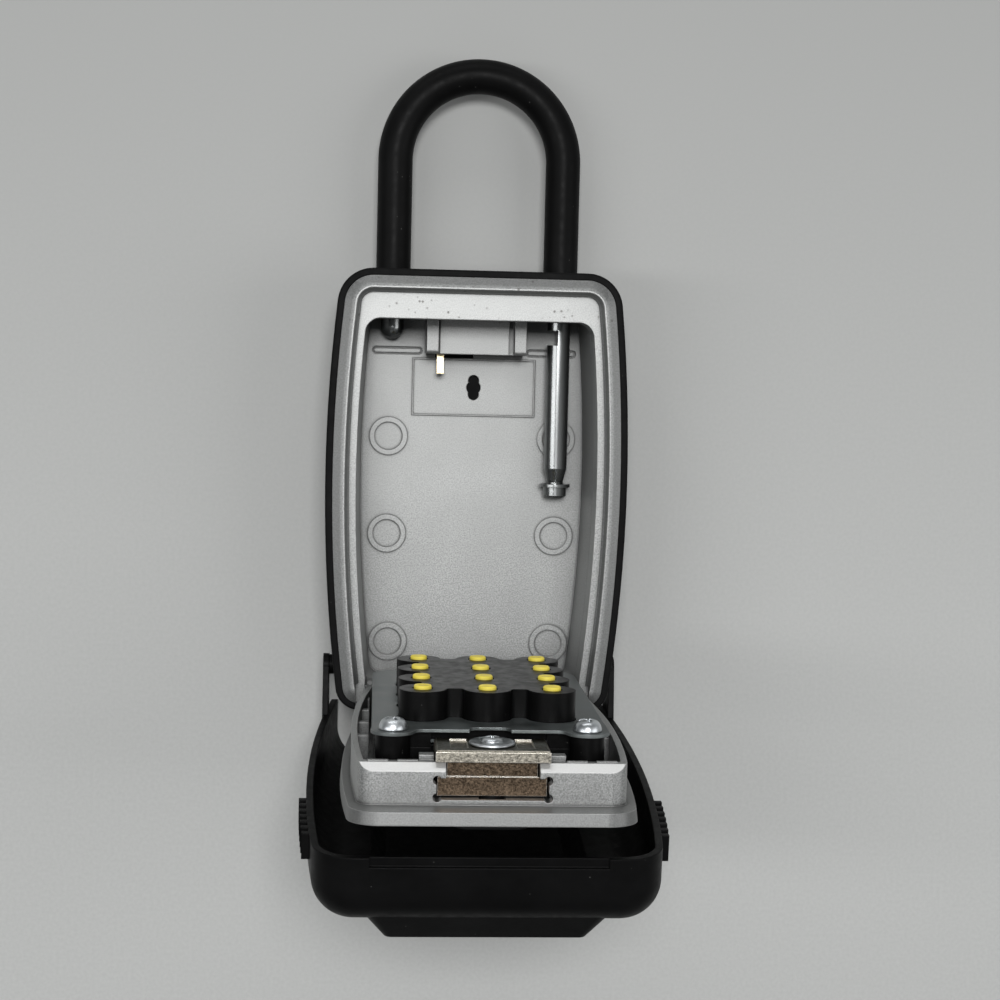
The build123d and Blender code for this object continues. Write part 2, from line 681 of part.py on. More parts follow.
def shackle_rod():
    """The bent rod with its notch, waist, end button and ball end."""
    rod = half_ring(Circle(ROD_R))
    taper_y = WAIST_Y + WAIST_TAPER
    rod += bar_y(LEG_X, LEG_Z, ROD_R, taper_y, ARC_Y)
    cone = Cone(WAIST_R, ROD_R, WAIST_TAPER, align=(Align.CENTER, Align.CENTER, Align.MIN))
    rod += Pos(LEG_X, WAIST_Y, LEG_Z) * Rot(-90, 0, 0) * cone
    rod += bar_y(LEG_X, LEG_Z, WAIST_R, BUTTON_TOP_Y, WAIST_Y)
    end = bar_y(LEG_X, LEG_Z, ROD_R, BUTTON_END_Y, BUTTON_TOP_Y)
    rod += chamfer(end.faces().sort_by(Axis.Y)[0].edges(), 0.5)
    ball_y = SHORT_LEG_Y + ROD_R
    rod += bar_y(-LEG_X, LEG_Z, ROD_R, ball_y, ARC_Y)
    rod += Pos(-LEG_X, ball_y, LEG_Z) * Sphere(ROD_R)
    inner = LEG_X - ROD_R
    return rod - block(
        (inner - 1, inner + NOTCH_DEPTH), (BOLT_Y - LOCK_WINDOW, BOLT_Y + LOCK_WINDOW),
        (LEG_Z - ROD_R - 1, LEG_Z + ROD_R + 1),
    )


def shackle_sleeve():
    """The vinyl tube over the outside part of the rod."""
    bore = ROD_R + SLEEVE_FIT
    sleeve = half_ring(Circle(SLEEVE_R) - Circle(bore))
    return sleeve + both_sides(
        lambda side: tube_sleeve_leg(side * LEG_X, bore)
    )


def tube_sleeve_leg(x, bore):
    """One straight leg of the sleeve."""
    leg = bar_y(x, LEG_Z, SLEEVE_R, SLEEVE_START_Y, ARC_Y)
    return leg - bar_y(x, LEG_Z, bore, SLEEVE_START_Y - 1, ARC_Y + 1)


def shackle_stop_ring():
    """The open clip ring in the waist of the long leg."""
    top = BUTTON_TOP_Y + STOP_RING_THICK
    ring = tube_y(LEG_X, LEG_Z, STOP_RING_R, WAIST_R + SLEEVE_FIT, BUTTON_TOP_Y, top)
    half = STOP_RING_GAP / 2
    return ring - block(
        (LEG_X - half, LEG_X + half), (BUTTON_TOP_Y - 1, top + 1), (LEG_Z - STOP_RING_R - 1, LEG_Z)
    )


# Door, drawn in the door frame

def door_shell():
    """Flange, skirt walls and barrel of the door."""
    flange = taper(
        door_outline(
            FLANGE_INSET + FLANGE_DRAFT, FLANGE_FOOT, FLANGE_TIP - FLANGE_DRAFT,
            FLANGE_FOOT_CORNER, FLANGE_TIP_CORNER - FLANGE_DRAFT,
        ), -FLANGE_DEPTH,
        door_outline(
            FLANGE_INSET, FLANGE_FOOT, FLANGE_TIP, FLANGE_FOOT_CORNER, FLANGE_TIP_CORNER
        ), 0,
    )
    skirt = slab(
        door_outline(SKIRT_INSET, SKIRT_FOOT, SKIRT_TIP, 1.0, SKIRT_CORNER), -SKIRT_DEPTH, -FLANGE_DEPTH
    )
    inside = slab(
        door_outline(
            SKIRT_INSET + SKIRT_WALL, SKIRT_FOOT + SKIRT_WALL, SKIRT_TIP - END_WALL, 1.0, 1.0
        ), -SKIRT_DEPTH - 1, -FLANGE_DEPTH,
    )
    barrel = bar_x(HINGE_DEPTH, 0, BARREL_R, -BARREL_HALF, BARREL_HALF)
    return stand(flange + skirt - inside) + barrel - end_bevel()


def end_bevel():
    """The wedge cut off the inner edge of the end wall."""
    spare = 1.0
    profile = Polyline(
        (SKIRT_DEPTH - END_CHAMFER - spare, SKIRT_TIP + spare), (SKIRT_DEPTH + spare, SKIRT_TIP + spare),
        (SKIRT_DEPTH + spare, SKIRT_TIP - END_CHAMFER - spare),
        close=True,
    )
    wedge = extrude(Plane.YZ * make_face(profile), 2 * BOX_HALF, dir=(1, 0, 0))
    return Pos(-BOX_HALF, 0, 0) * wedge


def skirt_middle(along):
    """Half width to the middle of the skirt wall."""
    middle = SKIRT_INSET + SKIRT_WALL / 2
    return half_at(along, BOX_HALF - middle, SIDE_RADIUS - middle, HINGE_TO_WIDEST)


def door_ribs():
    """Short ribs inside the skirt, ledges beside the latch and pads on the end wall."""
    solids = []
    for side in (-1, 1):
        for index in range(RIB_COUNT):
            middle = RIB_FIRST + index * RIB_PITCH
            solids.append(block(
                sided(side, RIB_INNER_X, skirt_middle(middle)), (FLANGE_DEPTH, RIB_DEPTH),
                (middle - RIB_THICK / 2, middle + RIB_THICK / 2),
            ))
        wall = SKIRT_TIP - END_WALL
        solids.append(block(
            sided(side, LEDGE_X - LEDGE_WIDTH / 2, LEDGE_X + LEDGE_WIDTH / 2),
            (FLANGE_DEPTH, LEDGE_DEPTH), (wall - LEDGE_LENGTH, wall),
        ))
        for place in (PAD_INNER_X, PAD_INNER_X + PAD_PITCH):
            solids.append(block(
                sided(side, place - PAD_WIDTH / 2, place + PAD_WIDTH / 2),
                (SKIRT_DEPTH - 0.5, SKIRT_DEPTH + PAD_HEIGHT), (wall + 0.3, wall + 0.3 + PAD_LENGTH),
            ))
    return solids


def latch_passage():
    """The T-shaped opening for the latch in the end wall, with corner reliefs."""
    along = (SKIRT_TIP - END_WALL - 1, SKIRT_TIP + 1)
    low = BLOCK_FROM - RUNNING_GAP
    high = BLOCK_TO + RUNNING_GAP
    wide = BLOCK_HALF + RUNNING_GAP
    neck = NECK_HALF + RUNNING_GAP
    cuts = [
        block((-wide, wide), (low, high), along),
        block((-neck, neck), (BLOCK_FROM, SKIRT_DEPTH + 1), along),
    ]
    for side in (-1, 1):
        for depth in (low + RELIEF_R / 2, high - RELIEF_R / 2):
            cuts.append(bar_z(side * (BLOCK_HALF + 0.1), depth, RELIEF_R, *along))
    return cuts


def door_openings():
    """Holes for the buttons and slots for the two sliding knobs."""
    through = (-1, FLANGE_DEPTH + 1)
    cuts = [bar_y(x, along, CAP_R + RUNNING_GAP, *through) for x, along in KEY_PLACES]
    half = KNOB_STEM_R + RUNNING_GAP
    cuts.append(block(
        (-half, half), (-1, BLOCK_FROM),
        (LATCH_SCREW_U - half, LATCH_SCREW_U + half + THROW),
    ))
    stem = CLEAR_STEM_HALF + RUNNING_GAP
    middle = (CLEAR_FROM + CLEAR_TO) / 2
    reach = CLEAR_STEM_LENGTH / 2 + RUNNING_GAP
    cuts.append(block((-stem, stem), through, (middle - reach - CLEAR_TRAVEL, middle + reach)))
    return cuts


def door_casting():
    """The die-cast door."""
    bore = bar_x(HINGE_DEPTH, 0, PIN_R + PIN_FIT, -BOX_HALF, BOX_HALF)
    door = door_shell() + door_ribs()
    return door - latch_passage() - door_openings() - bore


def key_bores():
    """Stepped bores for the buttons and code pins."""
    bores = []
    for x, along in KEY_PLACES:
        bores.append(bar_y(x, along, KEY_BORE_R, HOUSING_BACK - 1, SPRING_TOP))
        bores.append(bar_y(x, along, STEM_BORE_R, HOUSING_BACK, STEM_BORE_END))
        bores.append(bar_y(x, along, PIN_BORE_R, HOUSING_BACK, TOWER_TOP + 1))
    return bores


def screw_bores():
    """Bores for the plate screws."""
    return [
        bar_y(x, along, SCREW_R + SCREW_FIT, SCREW_END, HOUSING_TOP + 1) for x, along in SCREW_PLACES
    ]


def code_housing():
    """The lower half of the moulded mechanism housing."""
    base = block((-BASE_HALF, BASE_HALF), (HOUSING_BACK, HOUSING_BASE), (BASE_FOOT, BASE_TIP))
    base += block(
        (-UPPER_HALF, UPPER_HALF), (HOUSING_BASE, SKIRT_DEPTH), (UPPER_FOOT, UPPER_TIP)
    )
    base += [
        bar_y(x, along, POST_R, HOUSING_BASE, HOUSING_TOP) for x, along in SCREW_PLACES
    ]
    base -= block(
        (-LATCH_BAY_HALF, LATCH_BAY_HALF), (HOUSING_BACK - 1, SKIRT_DEPTH + 1),
        (LATCH_BAY_U, BASE_TIP + 1),
    )
    pocket_half = CLEAR_HALF + RUNNING_GAP
    base -= block(
        (-pocket_half, pocket_half), (HOUSING_BACK - 1, HOUSING_BACK + CLEAR_THICK + RUNNING_GAP),
        (CLEAR_FROM - CLEAR_TRAVEL - RUNNING_GAP, CLEAR_TO + RUNNING_GAP),
    )
    return base - key_bores() - screw_bores()


def ease_inward(face, radius):
    """Fillets the inward corners of an outline."""
    grown = offset(face, amount=radius, kind=Kind.ARC)
    return offset(grown, amount=-radius, kind=Kind.ARC)


def tower_outline(radius):
    """Twelve discs joined by a rectangle through their outer rows, with filleted inward corners."""
    middle = (KEY_FIRST_U + KEY_LAST_U) / 2
    face = Pos(0, middle) * Rectangle((KEY_COLUMNS - 1) * KEY_PITCH_X, KEY_LAST_U - KEY_FIRST_U)
    face += [Pos(x, along) * Circle(radius) for x, along in KEY_PLACES]
    return ease_inward(face, TOWER_FILLET)


def tower_housing():
    """The upper half of the housing with its scalloped towers."""
    body = block((-UPPER_HALF, UPPER_HALF), (SKIRT_DEPTH, HOUSING_TOP), (UPPER_FOOT, UPPER_TIP))
    body += door_slab(tower_outline(TOWER_R), HOUSING_TOP, TOWER_TOP)
    body -= block(
        (-LATCH_BAY_HALF, LATCH_BAY_HALF), (SKIRT_DEPTH - 1, HOUSING_TOP + 1),
        (LATCH_BAY_U, UPPER_TIP + 1),
    )
    half = SLIDE_HALF + RUNNING_GAP
    body -= block(
        (-half, half), (SKIRT_DEPTH - 1, BAR_FROM + SLIDE_THICK + RUNNING_GAP),
        (SLIDE_FOOT - RUNNING_GAP, SLIDE_TIP + THROW + RUNNING_GAP),
    )
    return body - key_bores() - screw_bores()


def back_plate():
    """The steel plate with its scalloped window."""
    face = Pos(0, (BASE_FOOT + PLATE_TIP) / 2) * Rectangle(2 * PLATE_HALF, PLATE_TIP - BASE_FOOT)
    face = fillet(face.vertices().sort_by(Axis.Y)[:2], PLATE_CORNER)
    face += [Pos(place) * Circle(LOBE_R) for place in SCREW_PLACES]
    face -= Pos(0, PLATE_TIP) * Rectangle(2 * PLATE_DIP_HALF, 2 * PLATE_DIP)
    face = ease_inward(face, PLATE_FILLET)
    face -= tower_outline(TOWER_R + PLATE_GAP)
    plate = door_slab(face, HOUSING_TOP, HOUSING_TOP + PLATE_THICK)
    return plate - [
        bar_y(x, along, SCREW_R + SCREW_FIT, HOUSING_TOP - 1, HOUSING_TOP + PLATE_THICK + 1)
        for x, along in SCREW_PLACES
    ]


def plate_screws():
    """The two pan-head screws of the plate."""
    face = HOUSING_TOP + PLATE_THICK
    screws = []
    for x, along in SCREW_PLACES:
        head = bar_y(x, along, SCREW_HEAD_R, face, face + SCREW_HEAD_HIGH)
        head = fillet(head.faces().sort_by(Axis.Y)[-1].edges(), SCREW_HEAD_ROUND)
        screws.append(head + bar_y(x, along, SCREW_R, SCREW_END, face))
    return Compound(screws)


def button_springs():
    """The twelve return springs, drawn as rings at their closed length."""
    outer = KEY_BORE_R - RUNNING_GAP
    start = HOUSING_BACK + CAP_FLANGE_THICK + KEY_TRAVEL + RUNNING_GAP
    return Compound([
        tube_y(x, along, outer, outer - SPRING_THICK, start, SPRING_TOP) for x, along in KEY_PLACES
    ])


def button(x, along):
    """One press button: rounded cap, retaining flange and stem with a socket."""
    cap = bar_y(x, along, CAP_R, -CAP_PROUD, HOUSING_BACK)
    cap = fillet(cap.faces().sort_by(Axis.Y)[0].edges(), CAP_ROUND)
    cap += bar_y(x, along, CAP_FLANGE_R, HOUSING_BACK, HOUSING_BACK + CAP_FLANGE_THICK)
    cap += bar_y(x, along, STEM_R, HOUSING_BACK, STEM_END)
    socket = CODE_PIN_START - CODE_SPIGOT_LENGTH - RUNNING_GAP
    return cap - bar_y(x, along, CODE_SPIGOT_R + PIN_FIT, socket, STEM_END + 1)


def code_pin(x, along):
    """One code pin: spigot, flat for the locking slide and a screwdriver slot."""
    pin = bar_y(x, along, CODE_PIN_R, CODE_PIN_START, CODE_PIN_TOP)
    pin = chamfer(pin.faces().sort_by(Axis.Y)[-1].edges(), 0.3)
    pin += bar_y(x, along, CODE_SPIGOT_R, CODE_PIN_START - CODE_SPIGOT_LENGTH, CODE_PIN_START)
    edge = x + CODE_PIN_R
    reach = (along - CODE_PIN_R - 1, along + CODE_PIN_R + 1)
    flat_from = BAR_FROM - CODE_FLAT_MARGIN
    flat_to = BAR_FROM + SLIDE_THICK + CODE_FLAT_MARGIN
    pin -= block((edge - CODE_FLAT_CUT, edge + 1), (flat_from, flat_to), reach)
    return pin - block(
        (x - CODE_PIN_R - 1, x + CODE_PIN_R + 1), (CODE_PIN_TOP - CODE_SLOT_DEPTH, CODE_PIN_TOP + 1),
        (along - CODE_SLOT_WIDTH / 2, along + CODE_SLOT_WIDTH / 2),
    )


def clear_slide():
    """The reset slide: knob, stem and retained plate."""
    middle = (CLEAR_FROM + CLEAR_TO) / 2
    plate = block(
        (-CLEAR_HALF, CLEAR_HALF), (HOUSING_BACK, HOUSING_BACK + CLEAR_THICK), (CLEAR_FROM, CLEAR_TO)
    )
    stem = block(
        (-CLEAR_STEM_HALF, CLEAR_STEM_HALF), (-RUNNING_GAP, HOUSING_BACK),
        (middle - CLEAR_STEM_LENGTH / 2, middle + CLEAR_STEM_LENGTH / 2),
    )
    knob = block(
        (-CLEAR_HALF, CLEAR_HALF), (-CLEAR_KNOB_PROUD, -RUNNING_GAP),
        (middle - CLEAR_KNOB_LENGTH / 2, middle + CLEAR_KNOB_LENGTH / 2),
    )
    knob = fillet(knob.faces().sort_by(Axis.Y)[0].edges(), 0.5)
    return plate + stem + knob


# Latch, drawn in the door frame

def latch_bolt():
    """The T-shaped bolt with its nose, neck and block."""
    bar = block((-BAR_HALF, BAR_HALF), (BAR_FROM, BAR_TO), (BAR_REAR, NOSE_U))
    bar = chamfer(bar.faces().sort_by(Axis.Y)[-1].edges(), NOSE_CHAMFER)
    bar += block((-NECK_HALF, NECK_HALF), (BLOCK_TO, BAR_FROM), (BAR_REAR, BLOCK_FACE - NECK_SETBACK))
    bar += block((-BLOCK_HALF, BLOCK_HALF), (BLOCK_FROM, BLOCK_TO), (BLOCK_REAR, BLOCK_FACE))
    bar -= bar_y(0, LATCH_SCREW_U, LATCH_SCREW_R + SCREW_FIT, BLOCK_FROM - 1, BAR_TO + 1)
    return bar - [
        block(
            sided(side, POCKET_FROM_X, POCKET_TO_X), (BAR_TO - POCKET_DEPTH, BAR_TO + 1),
            (BAR_REAR + POCKET_EDGE, NOSE_U - 2 * POCKET_EDGE),
        ) for side in (-1, 1)
    ]


def open_lever():
    """The thumb knob on the front, on a round stem through the door."""
    face = Pos(0, (KNOB_AHEAD - KNOB_BEHIND) / 2 + LATCH_SCREW_U) * RectangleRounded(
        2 * KNOB_HALF, KNOB_AHEAD + KNOB_BEHIND, KNOB_CORNER
    )
    knob = door_slab(face, -KNOB_PROUD, -RUNNING_GAP)
    knob = fillet(knob.faces().sort_by(Axis.Y)[0].edges(), 0.8)
    knob += bar_y(0, LATCH_SCREW_U, KNOB_STEM_R, -RUNNING_GAP, BLOCK_FROM)
    return knob - bar_y(0, LATCH_SCREW_U, LATCH_SCREW_R + SCREW_FIT, 0, BLOCK_FROM + 1)


def latch_screw():
    """The screw with its wide washer head."""
    screw = bar_y(0, LATCH_SCREW_U, WASHER_R, BAR_TO, BAR_TO + WASHER_HIGH)
    head = bar_y(0, LATCH_SCREW_U, LATCH_HEAD_R, BAR_TO + WASHER_HIGH, BAR_TO + LATCH_HEAD_HIGH)
    screw += fillet(head.faces().sort_by(Axis.Y)[-1].edges(), 0.8)
    return screw + bar_y(0, LATCH_SCREW_U, LATCH_SCREW_R, 1.0, BAR_TO)


def latch_springs():
    """The two springs behind the bolt, drawn as tubes at their closed length."""
    depth = (BLOCK_FROM + BLOCK_TO) / 2
    start = LATCH_BAY_U + RUNNING_GAP
    springs = []
    for side in (-1, 1):
        x = side * LATCH_SPRING_X
        tube = bar_z(x, depth, LATCH_SPRING_R, start, BLOCK_REAR - 0.1)
        inner = LATCH_SPRING_R - LATCH_SPRING_WIRE
        springs.append(tube - bar_z(x, depth, inner, start - 1, BLOCK_REAR + 1))
    return Compound(springs)


def locking_slide():
    """The thin plate with twelve long slots, joined to the bolt by its tongue."""
    face = Pos(0, (SLIDE_FOOT + SLIDE_TIP) / 2) * Rectangle(2 * SLIDE_HALF, SLIDE_TIP - SLIDE_FOOT)
    face += Pos(0, (SLIDE_TIP + BAR_REAR) / 2) * Rectangle(2 * TONGUE_HALF, BAR_REAR - SLIDE_TIP)
    for x, along in KEY_PLACES:
        face -= Pos(x, along) * Circle(SLOT_R)
        face -= Pos(x, along - THROW) * Circle(SLOT_R)
        face -= Pos(x, along - THROW / 2) * Rectangle(2 * SLOT_R, THROW)
    return door_slab(face, BAR_FROM, BAR_FROM + SLIDE_THICK)


# Weather cover, drawn closed

def cover_block(inset, foot_y):
    """The rounded outside or inside form of the cover, without its raised middle."""
    outline = bowed_outline(
        COVER_HALF - inset, COVER_SIDE_RADIUS - inset, WIDEST_Y,
        foot_y, COVER_TIP_Y - inset, 0.2, COVER_TIP_CORNER - inset,
    )
    low = COVER_RIM_Z - (1 if inset else 0)
    form = slab(outline, low, COVER_FRONT_Z - inset)
    front = form.faces().sort_by(Axis.Z)[-1].edges()
    rounded = front.sort_by(Axis.Y)[1:]
    return fillet(rounded, COVER_ROUND - inset)


def cover_bump(inset):
    """The raised middle of the cover with sloping sides."""
    drop = 2.0
    rise = BUMP_HIGH - inset + drop
    slope = BUMP_SLOPE * rise / BUMP_HIGH
    spread = BUMP_SLOPE * drop / BUMP_HIGH - inset
    middle = (BUMP_FOOT_Y + BUMP_TIP_Y) / 2
    width = 2 * (BUMP_HALF + spread)
    length = BUMP_TIP_Y - BUMP_FOOT_Y + 2 * spread
    low = Pos(0, middle) * RectangleRounded(width, length, BUMP_CORNER)
    high = Pos(0, middle) * RectangleRounded(
        width - 2 * slope, length - 2 * slope, BUMP_CORNER - 1
    )
    return taper(low, COVER_FRONT_Z - drop, high, COVER_FRONT_Z - drop + rise)


def cover_ear(side):
    """One pivot ear with its inner boss."""
    profile = Polyline(
        (COVER_PIVOT_Y - EAR_ROOT_HALF, EAR_ROOT_Z), (COVER_PIVOT_Y + EAR_ROOT_HALF, EAR_ROOT_Z),
        (COVER_PIVOT_Y + EAR_END_R, COVER_PIVOT_Z), (COVER_PIVOT_Y - EAR_END_R, COVER_PIVOT_Z),
        close=True,
    )
    face = make_face(profile) + Pos(COVER_PIVOT_Y, COVER_PIVOT_Z) * Circle(EAR_END_R)
    low, high = sided(side, EAR_INNER, EAR_OUTER)
    ear = Pos(low, 0, 0) * extrude(Plane.YZ * face, high - low, dir=(1, 0, 0))
    return ear + bar_x(
        COVER_PIVOT_Y, COVER_PIVOT_Z, EAR_BOSS_R, *sided(side, EAR_BOSS_X, EAR_INNER + 0.5)
    )


def cover_grips(side):
    """The ribs of one side grip."""
    ribs = []
    for index in range(GRIP_COUNT):
        y = GRIP_FIRST_Y + index * GRIP_PITCH
        shell = half_at(y, COVER_HALF, COVER_SIDE_RADIUS, WIDEST_Y)
        ribs.append(block(
            sided(side, shell - COVER_WALL / 2, shell + GRIP_PROUD),
            (y - GRIP_THICK / 2, y + GRIP_THICK / 2), (COVER_RIM_Z, COVER_RIM_Z + GRIP_HIGH),
        ))
    return ribs


def weather_cover():
    """The moulded cover."""
    cover = cover_block(0, COVER_FOOT_Y) + cover_bump(0)
    cover -= cover_block(COVER_WALL, COVER_FOOT_Y - 2 * COVER_ROUND) + cover_bump(COVER_WALL)
    cover -= block(
        (-TIP_NOTCH_HALF, TIP_NOTCH_HALF), (COVER_TIP_Y - TIP_NOTCH_DEPTH, COVER_TIP_Y + 1),
        (COVER_RIM_Z - 1, COVER_RIM_Z + TIP_NOTCH_HIGH),
    )
    for side in (-1, 1):
        cover += cover_ear(side)
        cover += cover_grips(side)
    bore = COVER_PIN_R + PIN_FIT
    return cover - bar_x(COVER_PIVOT_Y, COVER_PIVOT_Z, bore, -COVER_HALF, COVER_HALF)


# Files

def save(name, shape):
    """Write one node."""
    export_step(shape, f"parts/{name}.step")


for make in (
    body_casting, body_boot, shackle_lock_housing, door_hinge_pin, cover_pivot_pins,
    release_bolt, release_lever, shackle_rod, shackle_sleeve, shackle_stop_ring,
):
    save(make.__name__, make())

for make in (
    door_casting, code_housing, tower_housing, back_plate, plate_screws, button_springs,
    clear_slide, latch_bolt, open_lever, latch_screw, latch_springs, locking_slide,
):
    save(make.__name__, place_door(make()))

for number, (x, along) in enumerate(KEY_PLACES, start=1):
    save(f"button_{number:02d}", place_door(button(x, along)))
    save(f"code_pin_{number:02d}", place_door(code_pin(x, along)))

save("weather_cover", open_cover(weather_cover()))
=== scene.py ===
"""Portable lock box, open on a pale table, seen from above."""

import json
import math

import bpy
import numpy as np
from mathutils import Matrix, Vector


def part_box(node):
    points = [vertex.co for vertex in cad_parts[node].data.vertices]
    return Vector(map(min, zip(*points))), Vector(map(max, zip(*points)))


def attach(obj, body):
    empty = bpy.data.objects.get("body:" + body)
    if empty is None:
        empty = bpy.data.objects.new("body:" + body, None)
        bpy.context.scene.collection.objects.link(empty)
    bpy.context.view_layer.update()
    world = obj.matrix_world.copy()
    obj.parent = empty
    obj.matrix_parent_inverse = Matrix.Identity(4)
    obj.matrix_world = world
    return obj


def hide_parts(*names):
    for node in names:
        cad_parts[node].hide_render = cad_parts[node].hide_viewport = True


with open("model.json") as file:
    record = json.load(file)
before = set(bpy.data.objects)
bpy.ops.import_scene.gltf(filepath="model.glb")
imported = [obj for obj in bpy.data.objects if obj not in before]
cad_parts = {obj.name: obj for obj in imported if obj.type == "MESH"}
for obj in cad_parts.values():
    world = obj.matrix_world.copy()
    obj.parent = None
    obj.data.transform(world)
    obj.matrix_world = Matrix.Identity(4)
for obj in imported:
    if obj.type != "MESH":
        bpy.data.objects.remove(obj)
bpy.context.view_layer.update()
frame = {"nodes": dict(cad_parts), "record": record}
NODES = frame["nodes"]

MM = 0.001


# Places where a finish, a painted shade or a painted highlight changes, in the frame

RIDGE_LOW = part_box("body_casting")[1][2] - 0.35 * MM
RIM_LOW = RIDGE_LOW - 1.3 * MM
LIP_Y = 45.0 * MM
LIP_LOW = 30.0 * MM
PITS_FROM, PITS_FULL = 47.0 * MM, 50.0 * MM
DOOR_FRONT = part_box("door_casting")[0][1]
FLANGE_FROM = DOOR_FRONT - 1.0 * MM
FLANGE_TO = DOOR_FRONT + 3.2 * MM
LATCH_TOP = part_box("latch_bolt")[1]
LATCH_STEP = LATCH_TOP[1] - 3.0 * MM
END_WALL_FROM = LATCH_TOP[2] - 4.0 * MM
ABOVE_ALL = 1.0


# Camera

CAMERA_PLACE = (-0.02935, 0.03632, 0.570)
FOCAL_PIXELS = 1834.53
IMAGE_PIXELS = 1000
SENSOR = 36.0
CAMERA_ROLL = math.radians(1.088)
STRAIGHT_DOWN_PIXEL = (378.21, 363.53)


def add_camera():
    """Looks down, tilted so that the point straight below it falls on its measured pixel."""
    half = IMAGE_PIXELS / 2
    right = Vector((math.cos(CAMERA_ROLL), math.sin(CAMERA_ROLL), 0))
    up = Vector((-math.sin(CAMERA_ROLL), math.cos(CAMERA_ROLL), 0))
    across = (half - STRAIGHT_DOWN_PIXEL[0]) / FOCAL_PIXELS
    along = (half - STRAIGHT_DOWN_PIXEL[1]) / FOCAL_PIXELS
    forward = (right * across - up * along + Vector((0, 0, -1))).normalized()
    side = (right - forward * forward.dot(right)).normalized()
    top = side.cross(forward)
    data = bpy.data.cameras.new("camera")
    data.lens = FOCAL_PIXELS * SENSOR / IMAGE_PIXELS
    data.sensor_width = SENSOR
    data.clip_start = 0.01
    data.clip_end = 20
    camera = bpy.data.objects.new("camera", data)
    turn = Matrix((side, top, -forward)).transposed().to_4x4()
    camera.matrix_world = Matrix.Translation(CAMERA_PLACE) @ turn
    bpy.context.scene.collection.objects.link(camera)
    bpy.context.scene.camera = camera


# Materials

EDGE_SAMPLES = 6
CORNER_SAMPLES = 8
COLOUR_FACTOR, FIRST_COLOUR, SECOND_COLOUR = 0, 6, 7
COLOUR_RESULT = 2
BAND_BLUR = 0.15 * MM
EDGE_TURN_FULL, EDGE_TURN_NONE = 0.80, 0.985


